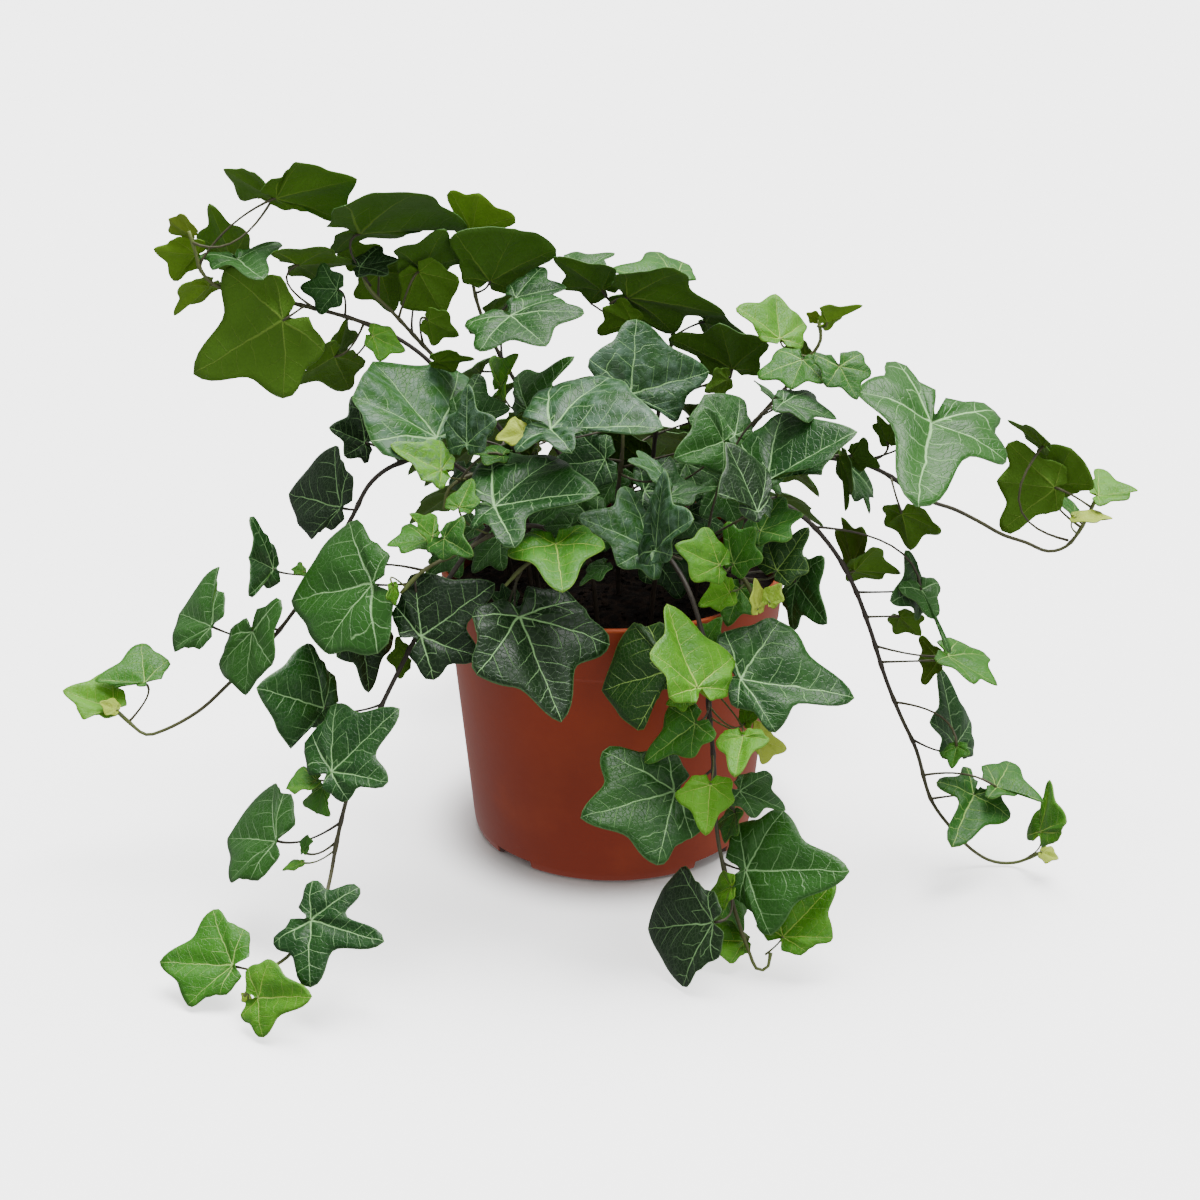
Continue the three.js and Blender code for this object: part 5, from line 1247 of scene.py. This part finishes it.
def stem_piece(stem, courses):
    """A stem that thins towards its tip and thickens where leaves start, with its stalks."""
    tubes = Tubes()
    line = stem.course.spaced(max(12, int(stem.length / STEM_RING_STEP)))
    shares = np.linspace(0, 1, len(line))
    swell = np.zeros(len(line))
    for course, _ in courses:
        start = shares[int(np.argmin(np.linalg.norm(line - course.point_at(0), axis=1)))]
        swell += np.exp(-(((shares - start) * stem.length / SWELL_LENGTH) ** 2))
    radii = STEM_RADIUS * (1 - 0.4 * shares**1.3) * (1 + 0.3 * np.minimum(swell, 1))
    tubes.add(line, radii, STEM_SIDES, shares**2.2 * 0.9)
    for course, leaf in courses:
        along = course.spaced(STALK_RINGS)
        slim = 0.8 if leaf.age in ("young", "bud") else 1.0
        thick = STALK_RADIUS * slim * (0.95 - 0.3 * np.sin(np.linspace(0, math.pi, len(along))))
        tubes.add(along, thick, STALK_SIDES, [STALK_YOUTH[leaf.age]] * len(along))
    return make_piece(f"{stem.name}_stem", tubes.points, tubes.faces, {"youth": tubes.youth})


# ---- pot, soil ----------------------------------------------------------------------------


# The sides that the pot and its drain holes are turned with, and how round the pot's edges are.
POT_SIDES = 144
POT_EDGE = 0.7
HOLE_SIDES = 28


def wall_radius(height):
    """The outside of the wall's taper, below the band."""
    return BASE_RADIUS + (RIM_RADIUS - BAND_STEP - BASE_RADIUS) * (height / POT_HEIGHT)


def lathe(name, profile, sides):
    """Turns [radius, height] pairs, which start and end on the axis, into a closed piece."""
    points = [np.array([0.0, 0.0, profile[0][1]])]
    for radius, height in profile[1:-1]:
        for i in range(sides):
            turn = 2 * math.pi * i / sides
            points.append(np.array([radius * math.cos(turn), radius * math.sin(turn), height]))
    points.append(np.array([0.0, 0.0, profile[-1][1]]))
    rings = len(profile) - 2
    faces = [[0, 1 + (i + 1) % sides, 1 + i] for i in range(sides)]
    for ring in range(rings - 1):
        here = 1 + ring * sides
        for i in range(sides):
            j = (i + 1) % sides
            faces.append([here + i, here + j, here + sides + j, here + sides + i])
    here, last = 1 + (rings - 1) * sides, len(points) - 1
    faces += [[here + i, here + (i + 1) % sides, last] for i in range(sides)]
    return make_piece(name, points, faces)


def rounded(profile, radius, steps=4):
    """The profile with its corners rounded."""
    found = [np.array(profile[0], float)]
    for before, corner, after in zip(profile, profile[1:], profile[2:]):
        before, corner, after = (np.array(p, float) for p in (before, corner, after))
        into, out = corner - before, after - corner
        cut = min(radius, 0.45 * np.linalg.norm(into), 0.45 * np.linalg.norm(out))
        start, end = corner - unit(into) * cut, corner + unit(out) * cut
        for i in range(steps + 1):
            t = i / steps
            found.append((1 - t) ** 2 * start + 2 * t * (1 - t) * corner + t * t * end)
    found.append(np.array(profile[-1], float))
    return found


def pot_piece():
    band_foot = POT_HEIGHT - BAND_HEIGHT
    floor_top = FOOT_HEIGHT + POT_WALL
    outer = [
        (0, FOOT_HEIGHT), (FOOT_INNER_RADIUS, FOOT_HEIGHT), (FOOT_INNER_RADIUS, 0),
        (BASE_RADIUS - 2.2, 0), (BASE_RADIUS - 0.4, 1), (wall_radius(3.8), 3.8),
        (wall_radius(band_foot), band_foot), (wall_radius(band_foot) + BAND_STEP, band_foot + 1),
        (RIM_RADIUS, POT_HEIGHT - 0.7), (RIM_RADIUS - 0.6, POT_HEIGHT),
        (RIM_RADIUS - BAND_STEP - POT_WALL, POT_HEIGHT),
        (wall_radius(floor_top) - POT_WALL, floor_top), (0, floor_top),
    ]
    pot = lathe("pot_shell", rounded(outer, POT_EDGE), POT_SIDES)
    cutters = []
    for i in range(FOOT_NOTCHES):
        turn = (i + 0.5) * 2 * math.pi / FOOT_NOTCHES
        notch = box_cutter(FOOT_NOTCH_WIDTH, 14, FOOT_NOTCH_HEIGHT, FOOT_INNER_RADIUS + 5, turn)
        cutters.append(notch)
    for i in range(DRAIN_HOLES):
        turn = i * 2 * math.pi / DRAIN_HOLES
        cutters.append(round_cutter(DRAIN_RADIUS, DRAIN_RING_RADIUS, turn))
    for cutter in cutters:
        cut = pot.modifiers.new("cut", "BOOLEAN")
        cut.operation = "DIFFERENCE"
        cut.solver = "EXACT"
        cut.object = cutter
    bpy.context.view_layer.update()
    graph = bpy.context.evaluated_depsgraph_get()
    mesh = bpy.data.meshes.new_from_object(pot.evaluated_get(graph))
    pot.modifiers.clear()
    pot.data = mesh
    for cutter in cutters:
        bpy.data.objects.remove(cutter)
    mesh.shade_smooth()
    mesh.set_sharp_from_angle(angle=math.radians(34))
    return pot


def turned(points, turn):
    cos, sin = math.cos(turn), math.sin(turn)
    return [np.array([x * cos - y * sin, x * sin + y * cos, z]) for x, y, z in points]


def box_cutter(width, depth, height, reach, turn):
    corners = [
        (x, -reach + y, z) for z in (-height, height)
        for x, y in ((-width / 2, -depth / 2), (width / 2, -depth / 2),
                     (width / 2, depth / 2), (-width / 2, depth / 2))
    ]
    faces = [[3, 2, 1, 0], [4, 5, 6, 7]]
    faces += [[i, (i + 1) % 4, 4 + (i + 1) % 4, 4 + i] for i in range(4)]
    return make_piece("foot_notch", turned(corners, turn), faces)


def round_cutter(radius, reach, turn):
    sides = HOLE_SIDES
    corners = [
        (radius * math.cos(2 * math.pi * i / sides),
         -reach + radius * math.sin(2 * math.pi * i / sides), z)
        for z in (-4, 12) for i in range(sides)
    ]
    faces = [list(reversed(range(sides))), list(range(sides, 2 * sides))]
    faces += [[i, (i + 1) % sides, sides + (i + 1) % sides, sides + i] for i in range(sides)]
    return make_piece("drain_hole", turned(corners, turn), faces)


def soil_height(x, y):
    """The uneven top of the heap: broad lumps and small ones, a little below the solid's."""
    reach = math.hypot(x, y) / SOIL_HEAP_RADIUS
    heap = SOIL_TOP + SOIL_HEAP * (1 - reach**2)
    broad = noise.noise(Vector((x, y, 3)) * 0.11) * 1.2
    small = noise.noise(Vector((x, y, 9)) * 0.45) * 0.6
    return heap - 0.7 + (broad + small)


def soil_piece(chance):
    """The heaped top of the mix, strewn with crumbs and bark chips, over a plain body."""
    sides, rings = 96, 26
    outer = wall_radius(SOIL_TOP) - POT_WALL - SOIL_GAP
    points, faces = [np.array([0, 0, soil_height(0, 0)])], []
    for ring in range(1, rings + 1):
        radius = outer * ring / rings
        for i in range(sides):
            turn = 2 * math.pi * i / sides
            x, y = radius * math.cos(turn), radius * math.sin(turn)
            points.append(np.array([x, y, soil_height(x, y)]))
    low = wall_radius(6) - POT_WALL - SOIL_GAP
    for i in range(sides):
        turn = 2 * math.pi * i / sides
        points.append(np.array([low * math.cos(turn), low * math.sin(turn), SOIL_FOOT]))
    points.append(np.array([0, 0, SOIL_FOOT]))
    faces += [[0, 1 + i, 1 + (i + 1) % sides] for i in range(sides)]
    for ring in range(rings):
        here = 1 + ring * sides
        for i in range(sides):
            j = (i + 1) % sides
            faces.append([here + i, here + sides + i, here + sides + j, here + j])
    here, last = 1 + rings * sides, len(points) - 1
    faces += [[here + (i + 1) % sides, here + i, last] for i in range(sides)]
    for _ in range(SOIL_CRUMBS):
        radius = outer * 0.97 * math.sqrt(chance.uniform(0, 1))
        turn = chance.uniform(0, 2 * math.pi)
        x, y = radius * math.cos(turn), radius * math.sin(turn)
        add_crumb(points, faces, (x, y, soil_height(x, y)), chance)
    return make_piece("soil_heap", points, faces)


def add_crumb(points, faces, place, chance):
    """A lump of the mix: an uneven eight-sided crumb, or a flat chip of bark."""
    size = chance.uniform(0.6, 1.7)
    ranges = ((0.7, 2.2), (0.6, 1.1), (0.4, 0.9))
    stretch = np.array([chance.uniform(*ends) for ends in ranges])
    turn = chance.uniform(0, math.pi)
    first = len(points)
    arms = [(1, 0, 0), (0.1, 1, 0), (-1, 0.1, 0), (0, -1, 0.1), (0.1, 0, 1), (0, 0.1, -1)]
    for arm in arms:
        jitter = 1 + chance.uniform(-0.3, 0.3)
        x, y, z = np.array(arm) * stretch * size * jitter
        cos, sin = math.cos(turn), math.sin(turn)
        points.append(np.array(place) + (x * cos - y * sin, x * sin + y * cos, z))
    for i in range(4):
        j = (i + 1) % 4
        faces.append([first + i, first + j, first + 4])
        faces.append([first + j, first + i, first + 5])


# ---- the plant ----------------------------------------------------------------------------

# Blades with a painted grey sheen, for the overhead light's reflection, and blades darkened with
# painted shade, deeper than others of their age.
PAINTED_SHEEN_BLADES = (
    "crown_left_leaf_1", "crown_left_small_3", "crown_left_small_4", "crown_middle_leaf_2",
    "crown_middle_leaf_3", "crown_middle_leaf_4", "crown_middle_small_5", "crown_middle_leaf_1",
)
PAINTED_SHADE_BLADES = (
    "front_middle_leaf_1", "front_leaf_6", "crown_right_small_2", "front_left_leaf_2",
    "far_left_leaf_1", "far_left_small_2", "front_leaf_5", "upper_middle_small_3",
    "front_left_small_2", "crown_right_small_4",
)

LEAF_SLOTS = {"old": "leaf_old", "mid": "leaf_mid", "young": "leaf_young", "bud": "leaf_young"}


def build_plant():
    chance = np.random.RandomState(7)
    stems = [Stem(*row) for row in STEMS]
    by_name = {stem.name: stem for stem in stems}
    leaves = [read_leaf(*row) for row in LEAVES]
    for name, *rest in HIDDEN:
        leaves += grow_leaves(by_name[name], *rest)
    finishes = {age: leaf_finish(age) for age in LEAF_LOOKS}
    bark = bark_finish()
    for leaf in leaves:
        stem = by_name[leaf.stem]
        if settle(leaf, stem):
            stem.leaves.append(leaf)
    for stem in stems:
        courses = [(stalk_course(leaf, stem), leaf) for leaf in stem.leaves]
        wear(stem_piece(stem, courses), bark, "stem_bark", stem.name)
        for i, leaf in enumerate(stem.leaves):
            label = leaf.node if leaf.node != stem.name else f"{stem.name}_small_{i + 1}"
            # Painted light: one above zero for a painted sheen, one below for painted shade.
            painted_light = (label in PAINTED_SHEEN_BLADES) - (label in PAINTED_SHADE_BLADES)
            piece = blade_piece(f"{label}_blade", leaf, chance, painted_light)
            wear(piece, finishes[leaf.age], LEAF_SLOTS[leaf.age], leaf.node)
    print("leaves placed", sum(len(s.leaves) for s in stems), "of", len(leaves))


def build_pot():
    chance = np.random.RandomState(11)
    wear(pot_piece(), pot_finish(), "pot_plastic", "pot")
    wear(soil_piece(chance), soil_finish(), "potting_mix", "soil")


# ---- camera, ground, light ----------------------------------------------------------------


def set_camera():
    data = bpy.data.cameras.new("camera")
    data.lens = LENS
    data.sensor_width = SENSOR
    data.clip_end = 50
    camera = bpy.data.objects.new("camera", data)
    camera.location = EYE * MM
    camera.rotation_euler = (math.pi / 2 - VIEW_PITCH, 0, 0)
    bpy.context.scene.collection.objects.link(camera)
    bpy.context.scene.camera = camera


def add_overhead():
    data = bpy.data.lights.new("soft_overhead", "SUN")
    data.energy = OVERHEAD_STRENGTH
    data.angle = OVERHEAD_SPREAD
    light = bpy.data.objects.new("soft_overhead", data)
    light.rotation_euler = Vector(OVERHEAD_FROM).to_track_quat("Z", "Y").to_euler()
    bpy.context.scene.collection.objects.link(light)


def add_fill():
    """A round light at the front, turned to the middle of the pot."""
    data = bpy.data.lights.new("front_fill", "AREA")
    data.shape = "DISK"
    data.size = FILL_SIZE
    data.energy = FILL_POWER
    light = bpy.data.objects.new("front_fill", data)
    light.location = FILL_PLACE
    ahead = Vector((0, 0, 0.1)) - Vector(FILL_PLACE)
    light.rotation_euler = ahead.to_track_quat("-Z", "Y").to_euler()
    bpy.context.scene.collection.objects.link(light)


def set_stage():
    """A pale ground that doesn't throw its own light on the plant, and soft light from above."""
    signs = ((-1, -1), (1, -1), (1, 1), (-1, 1))
    corners = [(x * GROUND_REACH, y * GROUND_REACH, GROUND_LEVEL) for x, y in signs]
    ground = make_piece("ground", corners, [[0, 1, 2, 3]])
    ground.data.materials.append(ground_finish())
    ground.visible_diffuse = False
    ground.visible_glossy = False
    add_overhead()
    add_fill()
    world = bpy.data.worlds.new("studio")
    world.use_nodes = True
    world.node_tree.nodes["Background"].inputs["Color"].default_value = (1, 1, 1, 1)
    world.node_tree.nodes["Background"].inputs["Strength"].default_value = WORLD_STRENGTH
    bpy.context.scene.world = world


set_camera()
build_pot()
build_plant()
set_stage()
